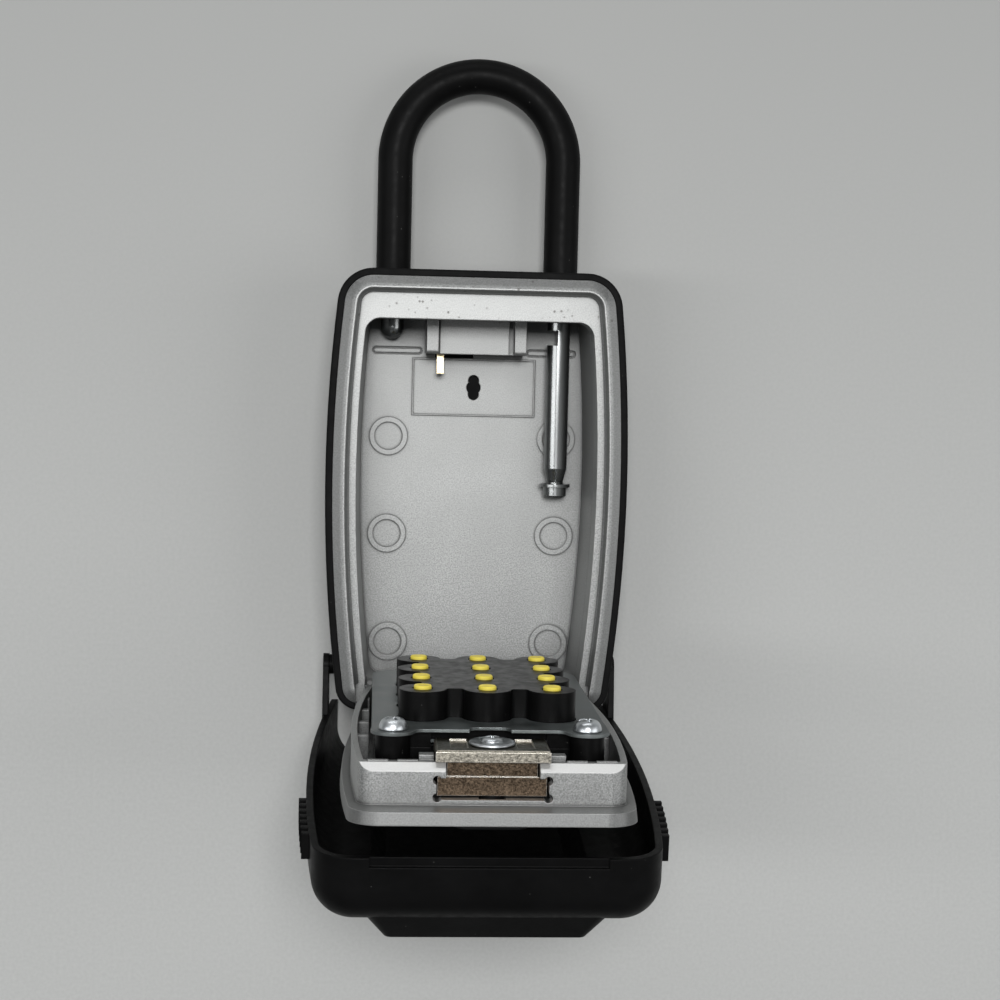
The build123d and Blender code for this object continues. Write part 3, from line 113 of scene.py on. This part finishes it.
class Shader:
    """One node material with a principled surface and short helpers."""

    def __init__(self, name, colour, metallic, roughness):
        self.material = bpy.data.materials.new(name)
        self.material.use_nodes = True
        self.nodes = self.material.node_tree.nodes
        self.links = self.material.node_tree.links
        self.surface = self.nodes["Principled BSDF"]
        self.surface.inputs["Base Color"].default_value = (*colour, 1)
        self.surface.inputs["Metallic"].default_value = metallic
        self.surface.inputs["Roughness"].default_value = roughness
        coordinates = self.nodes.new("ShaderNodeTexCoord")
        self.place = coordinates.outputs["Object"]
        self.face = coordinates.outputs["Normal"]
        self.normal = None

    def join(self, source, target):
        self.links.new(source, target)

    def noise(self, scale, detail=3.0, roughness=0.5, stretch=None):
        """Grey noise with features of about one over scale, in metres."""
        node = self.nodes.new("ShaderNodeTexNoise")
        node.inputs["Scale"].default_value = scale
        node.inputs["Detail"].default_value = detail
        node.inputs["Roughness"].default_value = roughness
        place = self.place
        if stretch:
            mapping = self.nodes.new("ShaderNodeMapping")
            mapping.inputs["Scale"].default_value = stretch
            self.join(place, mapping.inputs["Vector"])
            place = mapping.outputs["Vector"]
        self.join(place, node.inputs["Vector"])
        return node.outputs["Fac"]

    def cells(self, scale):
        """Distance to the nearest of scattered points."""
        node = self.nodes.new("ShaderNodeTexVoronoi")
        node.inputs["Scale"].default_value = scale
        self.join(self.place, node.inputs["Vector"])
        return node.outputs["Distance"]

    def along(self, axis):
        """Place along X, Y or Z in metres."""
        node = self.nodes.new("ShaderNodeSeparateXYZ")
        self.join(self.place, node.inputs["Vector"])
        return node.outputs[axis]

    def ramp(self, value, low, high, to_low=0.0, to_high=1.0):
        """Maps low..high to to_low..to_high and holds the ends."""
        node = self.nodes.new("ShaderNodeMapRange")
        ends = {"From Min": low, "From Max": high, "To Min": to_low, "To Max": to_high}
        for name, number in ends.items():
            node.inputs[name].default_value = number
        self.join(value, node.inputs["Value"])
        return node.outputs["Result"]

    def times(self, first, second):
        """Product of two values, either of which may be a number."""
        node = self.nodes.new("ShaderNodeMath")
        node.operation = "MULTIPLY"
        for socket, value in zip(node.inputs, (first, second)):
            if isinstance(value, (int, float)):
                socket.default_value = value
            else:
                self.join(value, socket)
        return node.outputs[0]

    def mix(self, factor, first, second):
        """First colour where factor is 0, second where it is 1."""
        node = self.nodes.new("ShaderNodeMix")
        node.data_type = "RGBA"
        for place, value in ((FIRST_COLOUR, first), (SECOND_COLOUR, second)):
            if isinstance(value, tuple):
                node.inputs[place].default_value = (*value, 1)
            else:
                self.join(value, node.inputs[place])
        self.join(factor, node.inputs[COLOUR_FACTOR])
        return node.outputs[COLOUR_RESULT]

    def tint(self, colour):
        self.join(colour, self.surface.inputs["Base Color"])

    def gloss(self, value):
        self.join(value, self.surface.inputs["Roughness"])

    def soften(self, radius):
        """Rounds hard edges in the shading."""
        node = self.nodes.new("ShaderNodeBevel")
        node.samples = EDGE_SAMPLES
        node.inputs["Radius"].default_value = radius
        self.normal = node.outputs["Normal"]
        self.join(self.normal, self.surface.inputs["Normal"])

    def edges(self, radius):
        """1 within radius of an edge, 0 on open faces: the rounded normal leaves the flat one there."""
        rounded = self.nodes.new("ShaderNodeBevel")
        rounded.samples = EDGE_SAMPLES
        rounded.inputs["Radius"].default_value = radius
        flat = self.nodes.new("ShaderNodeNewGeometry")
        dot = self.nodes.new("ShaderNodeVectorMath")
        dot.operation = "DOT_PRODUCT"
        self.join(rounded.outputs["Normal"], dot.inputs[0])
        self.join(flat.outputs["Normal"], dot.inputs[1])
        return self.ramp(dot.outputs["Value"], EDGE_TURN_FULL, EDGE_TURN_NONE, 1, 0)

    def crevices(self, reach, deep=0.30, open_from=0.80):
        """1 deep in corners and gaps narrower than reach, 0 in the open: the mask for painted shade."""
        node = self.nodes.new("ShaderNodeAmbientOcclusion")
        node.samples = CORNER_SAMPLES
        node.inputs["Distance"].default_value = reach
        return self.ramp(node.outputs["AO"], deep, open_from, 1, 0)

    def facing(self, axis):
        """How far the surface faces along X, Y or Z of its node."""
        node = self.nodes.new("ShaderNodeSeparateXYZ")
        self.join(self.face, node.inputs["Vector"])
        return node.outputs[axis]

    def band(self, axis, low, high):
        """1 where the place along the axis lies between low and high, with soft ends."""
        place = self.along(axis)
        rising = self.ramp(place, low - BAND_BLUR, low + BAND_BLUR)
        return self.times(rising, self.ramp(place, high - BAND_BLUR, high + BAND_BLUR, 1, 0))

    def bump(self, value, height):
        """Raises the surface by height metres where value is 1."""
        node = self.nodes.new("ShaderNodeBump")
        node.inputs["Distance"].default_value = height
        node.inputs["Strength"].default_value = 1.0
        self.join(value, node.inputs["Height"])
        if self.normal:
            self.join(self.normal, node.inputs["Normal"])
        self.normal = node.outputs["Normal"]
        self.join(self.normal, self.surface.inputs["Normal"])


def shade(colour, factor):
    """The colour made darker or lighter by a factor."""
    return tuple(channel * factor for channel in colour)


def paint_grain(s, base):
    """The noise of the paint's sparkle, and the colour with that sparkle and faint clouds."""
    sparkle = s.noise(scale=2600, detail=2)
    clouds = s.ramp(s.noise(scale=70, detail=4), 0.35, 0.65, 0, 0.3)
    grain = s.mix(s.ramp(sparkle, 0.34, 0.68), shade(base, 0.68), shade(base, 1.32))
    return sparkle, s.mix(clouds, grain, shade(base, 0.80))


def lip_pits(s):
    """1 in small casting pits, which lie in patches near the lip of the box."""
    pits = s.ramp(s.cells(520), 0.14, 0.24, 1, 0)
    patches = s.ramp(s.noise(scale=130, detail=2), 0.53, 0.58)
    near_lip = s.ramp(s.along("Y"), PITS_FROM, PITS_FULL)
    return s.times(s.times(pits, patches), near_lip)


def end_wall_bevel(s):
    """1 on the bevel along the door's end wall, which tilts between its top and its inner face: where the
    painted highlight goes.
    """
    rising = s.ramp(s.facing("Y"), 0.30, 0.50)
    falling = s.ramp(s.facing("Y"), 0.85, 0.95, 1, 0)
    return s.times(s.times(rising, falling), s.band("Z", END_WALL_FROM, ABOVE_ALL))


def silver_paint():
    """Satin silver paint: sparkle, pits near the lip and bright edges, with painted shade in corners, on
    the rim, on the door's flange and under the lip, and a painted highlight on the end wall's bevel.
    """
    base = (0.335, 0.34, 0.335)
    pit, bevel_highlight, edge = (0.06, 0.055, 0.05), (0.80, 0.80, 0.79), (0.62, 0.62, 0.61)
    s = Shader("silver_casting", base, metallic=0.65, roughness=0.46)
    s.soften(0.35 * MM)
    sparkle, colour = paint_grain(s, base)
    # Painted shadow of the lip: below LIP_LOW, darker from the middle of the box towards the lip.
    lip_shadow = s.times(s.ramp(s.along("Y"), 0.0, LIP_Y, 0, 0.40), s.band("Z", 0.0, LIP_LOW))
    layers = [
        (s.times(lip_pits(s), 0.75), pit),
        # Painted shade in corners and gaps: a wide reach for the box's inside edges and the lip's
        # overhang, two narrow ones for dark lines round parts and the floor's raised lines.
        (s.times(s.crevices(14.0 * MM, 0.35, 0.90), 0.60), shade(base, 0.20)),
        (s.times(s.crevices(1.5 * MM), 0.80), shade(base, 0.10)),
        (s.times(s.crevices(0.9 * MM, 0.60, 0.95), 0.55), shade(base, 0.15)),
        # Painted shade on the rim band below the ridge, for the dark that the rim reflects.
        (s.times(s.band("Z", RIM_LOW, RIDGE_LOW), 0.55), shade(base, 0.35)),
        # Painted shade on the door's flange, between FLANGE_FROM and FLANGE_TO.
        (s.times(s.band("Y", FLANGE_FROM, FLANGE_TO), 0.68), shade(base, 0.35)),
        (lip_shadow, shade(base, 0.35)),
        # Painted highlight on the end wall's bevel.
        (s.times(end_wall_bevel(s), 0.7), bevel_highlight),
        (s.times(s.edges(0.35 * MM), 0.5), edge),
    ]
    for mask, layer in layers:
        colour = s.mix(mask, colour, layer)
    s.tint(colour)
    s.gloss(s.ramp(sparkle, 0.3, 0.7, 0.38, 0.54))
    s.bump(s.noise(scale=2000, detail=3), 0.02 * MM)
    return s.material


def plain_black(name, level, roughness, grain, height, edge=0.35, worn=0.0, shine=0.10):
    """Moulded black with a fine grain and a few pale specks.

    Level is its base grey, and grain and height in mm are its bump. Edges are rounded by edge mm, and
    rubbed a little paler where worn is above 0. Shine is the strength of its reflection.
    """
    base = (level, level, level * 1.02)
    pale_edge, speck = (0.09, 0.09, 0.09), (0.16, 0.16, 0.15)
    s = Shader(name, base, 0, roughness)
    s.surface.inputs["Specular IOR Level"].default_value = shine
    s.soften(edge * MM)
    clouds = s.ramp(s.noise(scale=60, detail=3), 0.35, 0.65)
    colour = s.mix(clouds, shade(base, 0.8), shade(base, 1.25))
    if worn:
        colour = s.mix(s.times(s.edges(0.3 * MM), worn), colour, pale_edge)
    patches = s.ramp(s.noise(scale=150, detail=2), 0.55, 0.6)
    specks = s.times(s.ramp(s.cells(430), 0.05, 0.09, 1, 0), patches)
    s.tint(s.mix(s.times(specks, 0.35), colour, speck))
    s.gloss(s.ramp(s.noise(scale=400, detail=3), 0.3, 0.7, roughness - 0.06, roughness + 0.06))
    s.bump(s.noise(scale=grain, detail=2), height * MM)
    return s.material


def bright_metal(name, base, roughness, mottle, grain, height, stretch=None, metallic=1.0, edge=0.5):
    """Bare or plated metal, with a painted highlight on its edges and painted shade in its corners.

    Mottle is the scale of its clouds, and grain and height in mm are its bump. Stretch draws both out,
    and edge is the strength of the painted highlight on the edges.
    """
    pale_edge = (0.86, 0.85, 0.82)
    s = Shader(name, base, metallic, roughness)
    s.soften(0.22 * MM)
    cloud = s.noise(mottle, detail=4, stretch=stretch)
    colour = s.mix(s.ramp(cloud, 0.3, 0.7), shade(base, 0.66), shade(base, 1.2))
    # Painted shade in corners and gaps.
    colour = s.mix(s.times(s.crevices(1.2 * MM), 0.6), colour, shade(base, 0.25))
    # Painted highlight on the edges.
    s.tint(s.mix(s.times(s.edges(0.25 * MM), edge), colour, pale_edge))
    s.gloss(s.ramp(cloud, 0.3, 0.7, roughness - 0.07, roughness + 0.09))
    s.bump(s.noise(grain, detail=3, stretch=stretch), height * MM)
    return s.material


def latch_finish():
    """Granular nickel: lit on the bar, with painted shade and a painted warm reflection in brown on the
    neck and block, and painted shade where it faces the screw.
    """
    bright, painted_brown_shade, screw_face_shade = (0.42, 0.39, 0.33), (0.11, 0.08, 0.055), (0.035, 0.033, 0.020)
    pale_edge = (0.90, 0.88, 0.82)
    s = Shader("latch_nickel", bright, metallic=1.0, roughness=0.36)
    s.soften(0.2 * MM)
    grain = s.ramp(s.noise(scale=2300, detail=3, roughness=0.6), 0.36, 0.66)
    # Painted shade and a painted warm reflection: below LATCH_STEP along Y the latch takes a dark brown,
    # above it the lit nickel.
    low = s.mix(grain, shade(painted_brown_shade, 0.45), shade(painted_brown_shade, 1.7))
    high = s.mix(grain, shade(bright, 0.5), shade(bright, 1.35))
    step = s.ramp(s.along("Y"), LATCH_STEP - 0.3 * MM, LATCH_STEP + 0.3 * MM)
    colour = s.mix(step, low, high)
    # Painted shade in corners and gaps.
    colour = s.mix(s.times(s.crevices(1.2 * MM), 0.6), colour, shade(painted_brown_shade, 0.3))
    # Painted shade on the faces that look along +Y, towards the screw.
    colour = s.mix(s.ramp(s.facing("Y"), 0.5, 0.9, 0, 0.75), colour, screw_face_shade)
    # Painted highlight on the edges and chamfers.
    s.tint(s.mix(s.times(s.edges(0.4 * MM), 0.7), colour, pale_edge))
    s.gloss(s.ramp(s.noise(scale=900, detail=3), 0.3, 0.7, 0.28, 0.46))
    s.bump(s.noise(scale=2300, detail=3), 0.05 * MM)
    return s.material


def bright_plastic(name, base, roughness):
    """Moulded plastic in a clear colour, a little uneven, with painted shade in its corners."""
    s = Shader(name, base, 0, roughness)
    s.soften(0.25 * MM)
    clouds = s.ramp(s.noise(scale=300, detail=3), 0.3, 0.7)
    colour = s.mix(clouds, shade(base, 0.86), shade(base, 1.06))
    # Painted shade in corners and gaps.
    s.tint(s.mix(s.times(s.crevices(0.8 * MM), 0.6), colour, shade(base, 0.3)))
    s.gloss(s.ramp(s.noise(scale=700, detail=2), 0.3, 0.7, roughness - 0.05, roughness + 0.08))
    s.bump(s.noise(scale=2200, detail=2), 0.006 * MM)
    return s.material


BLACKS = {
    "boot_rubber": {"level": 0.005, "roughness": 0.60, "grain": 1500, "height": 0.020, "edge": 0.5,
                    "shine": 0.07},
    "sleeve_vinyl": {"level": 0.004, "roughness": 0.45, "grain": 900, "height": 0.010, "shine": 0.06},
    "housing_black": {"level": 0.003, "roughness": 0.36, "grain": 1800, "height": 0.010, "worn": 0.25,
                      "shine": 0.07},
    "knob_black": {"level": 0.010, "roughness": 0.42, "grain": 1500, "height": 0.012, "worn": 0.2},
    "cover_black": {"level": 0.004, "roughness": 0.42, "grain": 1300, "height": 0.015, "edge": 0.5,
                    "shine": 0.06},
}
METALS = {
    "bright_steel": {"base": (0.30, 0.31, 0.31), "roughness": 0.26, "mottle": 160, "grain": 900,
                     "height": 0.004, "stretch": (1, 0.06, 1)},
    "zinc_plate": {"base": (0.15, 0.165, 0.165), "roughness": 0.42, "mottle": 120, "grain": 1300,
                   "height": 0.010, "metallic": 0.8, "edge": 0.15},
    "screw_zinc": {"base": (0.62, 0.65, 0.67), "roughness": 0.33, "mottle": 300, "grain": 1500,
                   "height": 0.003, "edge": 0.25},
    "lever_brass": {"base": (0.72, 0.60, 0.38), "roughness": 0.32, "mottle": 300, "grain": 1200,
                    "height": 0.010},
    "spring_steel": {"base": (0.55, 0.55, 0.54), "roughness": 0.30, "mottle": 300, "grain": 900,
                     "height": 0.006},
}
PLASTICS = {
    "pin_yellow": {"base": (0.80, 0.66, 0.08), "roughness": 0.45},
    "button_grey": {"base": (0.60, 0.61, 0.60), "roughness": 0.40},
}


def all_materials():
    """One material for each slot."""
    materials = {"silver_casting": silver_paint(), "latch_nickel": latch_finish()}
    for make, recipes in ((plain_black, BLACKS), (bright_metal, METALS), (bright_plastic, PLASTICS)):
        for name, recipe in recipes.items():
            materials[name] = make(name, **recipe)
    return materials


def dress_nodes(materials):
    """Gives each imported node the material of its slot."""
    slots = {part["node"]: part["material_slot"] for part in frame["record"]["subparts"]}
    for name, node in NODES.items():
        node.data.materials.clear()
        node.data.materials.append(materials[slots[name]])


# Skins

KEYS = range(1, 13)


def skin(rings):
    """Points and faces of one closed skin: each closed ring joins the next, a point closes each end."""
    rings = np.asarray(rings, float)
    rows, columns = rings.shape[:2]
    points = np.vstack([rings.reshape(-1, 3), rings[0].mean(0), rings[-1].mean(0)])
    index = np.arange(rows * columns).reshape(rows, columns)
    after = np.roll(index, -1, 1)
    quads = np.stack([index[:-1], after[:-1], after[1:], index[1:]], -1).reshape(-1, 4)
    middle = np.full(columns, rows * columns)
    first = np.stack([after[0], index[0], middle], -1)
    last = np.stack([index[-1], after[-1], middle + 1], -1)
    corners = np.vstack([quads[:, [0, 1, 2]], quads[:, [0, 2, 3]], first, last])
    a, b, c = (points[corners[:, k]] for k in range(3))
    if np.einsum("ij,ij->", a, np.cross(b, c)) < 0:
        quads, first, last = quads[:, ::-1], first[:, ::-1], last[:, ::-1]
    return points, quads.tolist() + first.tolist() + last.tolist()


def add_piece(name, skins, body, material, hidden):
    """One mesh piece made of closed skins, riding on a body and standing for the hidden nodes."""
    points, faces = [], []
    for part_points, part_faces in skins:
        start = sum(len(block) for block in points)
        points.append(part_points)
        faces += [[corner + start for corner in face] for face in part_faces]
    mesh = bpy.data.meshes.new(name)
    mesh.from_pydata(np.vstack(points).tolist(), [], faces)
    mesh.polygons.foreach_set("use_smooth", np.ones(len(faces), bool))
    mesh.materials.append(material)
    piece = bpy.data.objects.new(name, mesh)
    bpy.context.scene.collection.objects.link(piece)
    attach(piece, body)
    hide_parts(*hidden)


def stand(across, along, height, foot):
    """Points of a form that stands on foot and points along +Y: across is X and along is Z."""
    return np.stack([foot[0] + across, foot[1] + height, foot[2] + along], -1)


# Screws

TURNS = np.linspace(0, 2 * np.pi, 96, endpoint=False)
THREAD_PITCH = 0.9 * MM
THREAD_DEPTH = 0.25 * MM
RINGS_PER_PITCH = 6
RECESS_WALL = 0.25 * MM
RECESS_FROM = 0.45
HEAD_RINGS = 34
HEAD_MIDDLE = 0.05 * MM


def cross_depth(x, y, half_width, half_length, depth):
    """Depth of a cross recess: full within both arms, easing to nothing over their walls."""
    one = np.maximum(np.abs(x) - half_width, np.abs(y) - half_length)
    other = np.maximum(np.abs(y) - half_width, np.abs(x) - half_length)
    inside = np.clip(-np.minimum(one, other) / RECESS_WALL, 0, 1)
    return depth * inside * inside * (3 - 2 * inside)


def screw_skin(foot, shank, shank_length, heads, recess, turn):
    """Screw with a threaded shank below foot and a turned head above it.

    The shank's radius falls and rises once a pitch along a helix: shank less the thread's depth times a
    triangle wave of height over pitch plus the part of a turn round the screw. The head's radius and
    height come from heads, a list of pairs from the underside's edge to the middle. A cross recess,
    turned by turn in radians, is taken off the height on the upper part of the head.
    """
    drop = np.linspace(shank_length, 0, int(shank_length / THREAD_PITCH) * RINGS_PER_PITCH)[:, None]
    wave = np.abs(((drop / THREAD_PITCH + TURNS / (2 * np.pi)) % 1) * 2 - 1)
    radius = shank - THREAD_DEPTH * wave
    rings = [stand(radius * np.cos(TURNS), radius * np.sin(TURNS), -drop + 0 * TURNS, foot)]
    radii, heights = np.array(heads).T[:, :, None]
    x, y = radii * np.cos(TURNS), radii * np.sin(TURNS)
    turned_x = x * np.cos(turn) - y * np.sin(turn)
    turned_y = x * np.sin(turn) + y * np.cos(turn)
    cut = np.where(heights > RECESS_FROM * heights.max(), cross_depth(turned_x, turned_y, *recess), 0)
    rings.append(stand(x, y, heights - cut, foot))
    return skin(np.concatenate(rings))


def rounded_head(radius, height, power):
    """Pairs from rim to middle of a head where (r / radius) ** power + (h / height) ** 2 is 1.

    A few rings are spaced by angle for the rim, and many more evenly for the recess.
    """
    rim = HEAD_RINGS // 3
    angle = np.linspace(0, np.pi / 2, HEAD_RINGS)
    across = radius * np.cos(angle) ** (2 / power)
    spread = np.linspace(across[rim], HEAD_MIDDLE, 2 * HEAD_RINGS)
    across = np.concatenate([across[:rim], spread])
    return [(r, height * math.sqrt(max(0, 1 - (r / radius) ** power))) for r in across]


PLATE_SCREW = {
    "radius": 3.55 * MM,
    "height": 3.0 * MM,
    "under": 0.97,
    "rim": 0.12 * MM,
    "shank": 1.5 * MM,
    "power": 3.4,
    "recess": (0.55 * MM, 2.3 * MM, 1.9 * MM),
    "turns": (0.5, 0.15),
}


def plate_screws(material):
    """Two pan-head screws, each at an end of its node's box.

    Under is the part of the radius that the underside reaches, and the rim rises from there.
    """
    low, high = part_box("plate_screws")
    radius, height = PLATE_SCREW["radius"], PLATE_SCREW["height"]
    face = high[1] - height
    middle = (low[2] + high[2]) / 2
    rim = [(radius * PLATE_SCREW["under"], 0.0), (radius, PLATE_SCREW["rim"])]
    head = rim + rounded_head(radius, height, PLATE_SCREW["power"])[2:]
    skins = []
    for x, turn in zip((low[0] + radius, high[0] - radius), PLATE_SCREW["turns"]):
        skins.append(screw_skin(
            (x, face, middle), PLATE_SCREW["shank"], face - low[1], head, PLATE_SCREW["recess"], turn
        ))
    add_piece("plate_screw_heads", skins, "door", material, ["plate_screws"])


WASHER = {
    "radius": 5.65 * MM,
    "thick": 0.9 * MM,
    "dome": 2.7 * MM,
    "dome_gap": 0.3 * MM,
    "power": 2.6,
    "shank": 1.6 * MM,
    "recess": (0.38 * MM, 1.7 * MM, 1.0 * MM),
    "turn": 0.1,
}


def latch_screw(material):
    """Washer-head screw: a thin disc with a rounded rim, and a low dome with a cross recess.

    The rim is a half circle of the disc's thickness, and the dome is a rounded head on its face.
    """
    low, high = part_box("latch_screw")
    face = LATCH_TOP[1]
    radius, thick, dome = WASHER["radius"], WASHER["thick"], WASHER["dome"]
    half = thick / 2
    rim = np.linspace(-np.pi / 2, np.pi / 2, 9)
    head = [(radius - half + half * math.cos(angle), half + half * math.sin(angle)) for angle in rim]
    head += [(r, thick) for r in np.linspace(radius - thick, dome + WASHER["dome_gap"], 5)]
    head += [(r, thick + h) for r, h in rounded_head(dome, high[1] - face - thick, WASHER["power"])]
    foot = (0, face, (low[2] + high[2]) / 2)
    shape = screw_skin(foot, WASHER["shank"], face - low[1], head, WASHER["recess"], WASHER["turn"])
    add_piece("latch_screw_washer", [shape], "latch", material, ["latch_screw"])


# Springs

LATCH_WIRE, LATCH_TURNS = 0.33 * MM, 4.5
BUTTON_WIRE, BUTTON_TURNS = 0.4 * MM, 2.5
STEPS_PER_TURN = 26
WIRE_SIDES = 10
END_EASE = 0.11


def coil_skin(middle, axis, radius, wire, length, turns):
    """One coil spring.

    A circle of the wire's radius is carried along a helix of the given radius about the axis. The
    height rises as a smooth step, so the first and last turns lie flatter than the middle ones.
    """
    steps = np.linspace(0, 1, int(turns * STEPS_PER_TURN))[:, None]
    around = np.linspace(0, 2 * np.pi, WIRE_SIDES, endpoint=False)
    angle = 2 * np.pi * turns * steps
    rise = (steps - 0.5 - END_EASE * np.sin(2 * np.pi * steps)) * (length - 2 * wire)
    out = radius - wire + wire * np.cos(around)
    flat_one, flat_two = out * np.cos(angle), out * np.sin(angle)
    height = rise + wire * np.sin(around)
    order = {"Y": (flat_one, height, flat_two), "Z": (flat_one, flat_two, height)}[axis]
    return skin(np.stack(order, -1) + np.array(middle))


def latch_coils(material):
    """Two coils in the space of the tubes behind the latch."""
    low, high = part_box("latch_springs")
    radius = (high[1] - low[1]) / 2
    y, z = (low[1] + high[1]) / 2, (low[2] + high[2]) / 2
    places = [(x, y, z) for x in (low[0] + radius, high[0] - radius)]
    coils = [coil_skin(place, "Z", radius, LATCH_WIRE, high[2] - low[2], LATCH_TURNS) for place in places]
    add_piece("latch_coils", coils, "door", material, ["latch_springs"])


def button_coils(material):
    """A coil round the stem of each button, in the space of its ring."""
    low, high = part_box("button_springs")
    y = (low[1] + high[1]) / 2
    coils = []
    for number in KEYS:
        button_low, button_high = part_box(f"button_{number:02d}")
        place = ((button_low[0] + button_high[0]) / 2, y, (button_low[2] + button_high[2]) / 2)
        radius = (button_high[0] - button_low[0]) / 2
        coils.append(coil_skin(place, "Y", radius, BUTTON_WIRE, high[1] - low[1], BUTTON_TURNS))
    add_piece("button_coils", coils, "door", material, ["button_springs"])


# Key numbers

DIGIT_HEIGHT = 6.2 * MM
DIGIT_HALF_DEPTH = 0.18 * MM
DIGIT_TRIM = 0.02 * MM
DIGITS = {10: "1", 11: "2", 12: "3", 7: "4", 8: "5", 9: "6", 4: "7", 5: "8", 6: "9", 2: "0"}


def digit_mesh(digit, front, middle_x, middle_z):
    """A digit as a mesh, let into a button so that its face lies on the plane y = front.

    The digit's outline is extruded both ways and turned upright: its height becomes z and its depth
    becomes y. It is set back by half its depth less the trim, and no point stays before the plane.
    """
    curve = bpy.data.curves.new(f"digit_{digit}", "FONT")
    curve.body = digit
    curve.size = DIGIT_HEIGHT
    curve.align_x = "CENTER"
    curve.align_y = "CENTER"
    curve.extrude = DIGIT_HALF_DEPTH
    text = bpy.data.objects.new(f"text_{digit}", curve)
    mesh = bpy.data.meshes.new_from_object(text)
    bpy.data.objects.remove(text)
    points = np.empty(len(mesh.vertices) * 3)
    mesh.vertices.foreach_get("co", points)
    points = points.reshape(-1, 3)
    middle = (points.min(0) + points.max(0)) / 2
    x = points[:, 0] - middle[0] + middle_x
    z = points[:, 1] - middle[1] + middle_z
    y = np.maximum(front + DIGIT_HALF_DEPTH - DIGIT_TRIM - points[:, 2], front)
    mesh.vertices.foreach_set("co", np.stack([x, y, z], -1).ravel())
    mesh.name = f"digit_{digit}"
    return mesh


def key_numbers(material):
    """Digits let into the press buttons: 1 to 9 in rows of three from the tip, then 0."""
    for number, digit in DIGITS.items():
        low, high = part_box(f"button_{number:02d}")
        mesh = digit_mesh(digit, low[1], (low[0] + high[0]) / 2, (low[2] + high[2]) / 2)
        mesh.materials.clear()
        mesh.materials.append(material)
        piece = bpy.data.objects.new(f"key_digit_{digit}", mesh)
        bpy.context.scene.collection.objects.link(piece)
        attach(piece, f"key_{number:02d}")


# Stage and light

FLOOR_HALF = 3.0
FLOOR_DROP = 0.2 * MM
FLOOR_NEAR, FLOOR_FAR = -0.10, 0.16
WORLD_COLOUR = (0.75, 0.78, 0.80, 1)
WORLD_STRENGTH = 0.17
LAMPS = {
    "top_lamp": {"place": (-0.02, 0.30, 1.4), "aim": (0, 0.02, 0), "size": (0.4, 0.3), "power": 12},
    "far_lamp": {"place": (-0.15, 1.3, 0.50), "aim": (0, -0.08, 0), "size": (1.4, 0.4), "power": 5},
    "near_lamp": {"place": (0.1, -1.05, 1.0), "aim": (0, 0, 0), "size": (1.0, 0.6), "power": 0.6},
    "left_lamp": {"place": (-0.9, 0.0, 1.1), "aim": (-0.1, -0.05, 0), "size": (0.15, 1.0), "power": 3.8},
    "right_lamp": {"place": (1.1, 0.0, 0.9), "aim": (0.1, -0.05, 0), "size": (0.6, 1.0), "power": 4.2},
}


def add_floor():
    """A pale table under the box, with painted shade making it a little darker towards the shackle."""
    edge = FLOOR_HALF
    corners = [(-edge, -edge, 0), (edge, -edge, 0), (edge, edge, 0), (-edge, edge, 0)]
    mesh = bpy.data.meshes.new("floor")
    mesh.from_pydata(corners, [], [(0, 1, 2, 3)])
    floor = bpy.data.objects.new("floor", mesh)
    floor.location.z = -FLOOR_DROP
    bpy.context.scene.collection.objects.link(floor)
    base = (0.47, 0.475, 0.465)
    s = Shader("floor", base, 0, 0.75)
    colour = s.mix(s.ramp(s.noise(scale=900, detail=4), 0.3, 0.7), shade(base, 0.98), shade(base, 1.06))
    # Painted shade: the table darkens from FLOOR_NEAR to FLOOR_FAR along Y.
    s.tint(s.mix(s.ramp(s.along("Y"), FLOOR_NEAR, FLOOR_FAR, 0, 1), colour, shade(base, 0.76)))
    mesh.materials.append(s.material)


def add_lamp(name, place, aim, size, power):
    """A soft rectangular lamp."""
    data = bpy.data.lights.new(name, "AREA")
    data.shape = "RECTANGLE"
    data.size, data.size_y = size
    data.energy = power
    lamp = bpy.data.objects.new(name, data)
    lamp.location = place
    lamp.rotation_euler = (Vector(aim) - Vector(place)).to_track_quat("-Z", "Y").to_euler()
    bpy.context.scene.collection.objects.link(lamp)


def add_light():
    """A dim even world and the lamps."""
    world = bpy.data.worlds.new("world")
    world.use_nodes = True
    background = world.node_tree.nodes["Background"]
    background.inputs["Color"].default_value = WORLD_COLOUR
    background.inputs["Strength"].default_value = WORLD_STRENGTH
    bpy.context.scene.world = world
    for name, lamp in LAMPS.items():
        add_lamp(name, **lamp)


add_camera()
MATERIALS = all_materials()
dress_nodes(MATERIALS)
plate_screws(MATERIALS["screw_zinc"])
latch_screw(MATERIALS["screw_zinc"])
latch_coils(MATERIALS["spring_steel"])
button_coils(MATERIALS["spring_steel"])
key_numbers(MATERIALS["knob_black"])
add_floor()
add_light()
bpy.context.scene.view_settings.view_transform = "Standard"
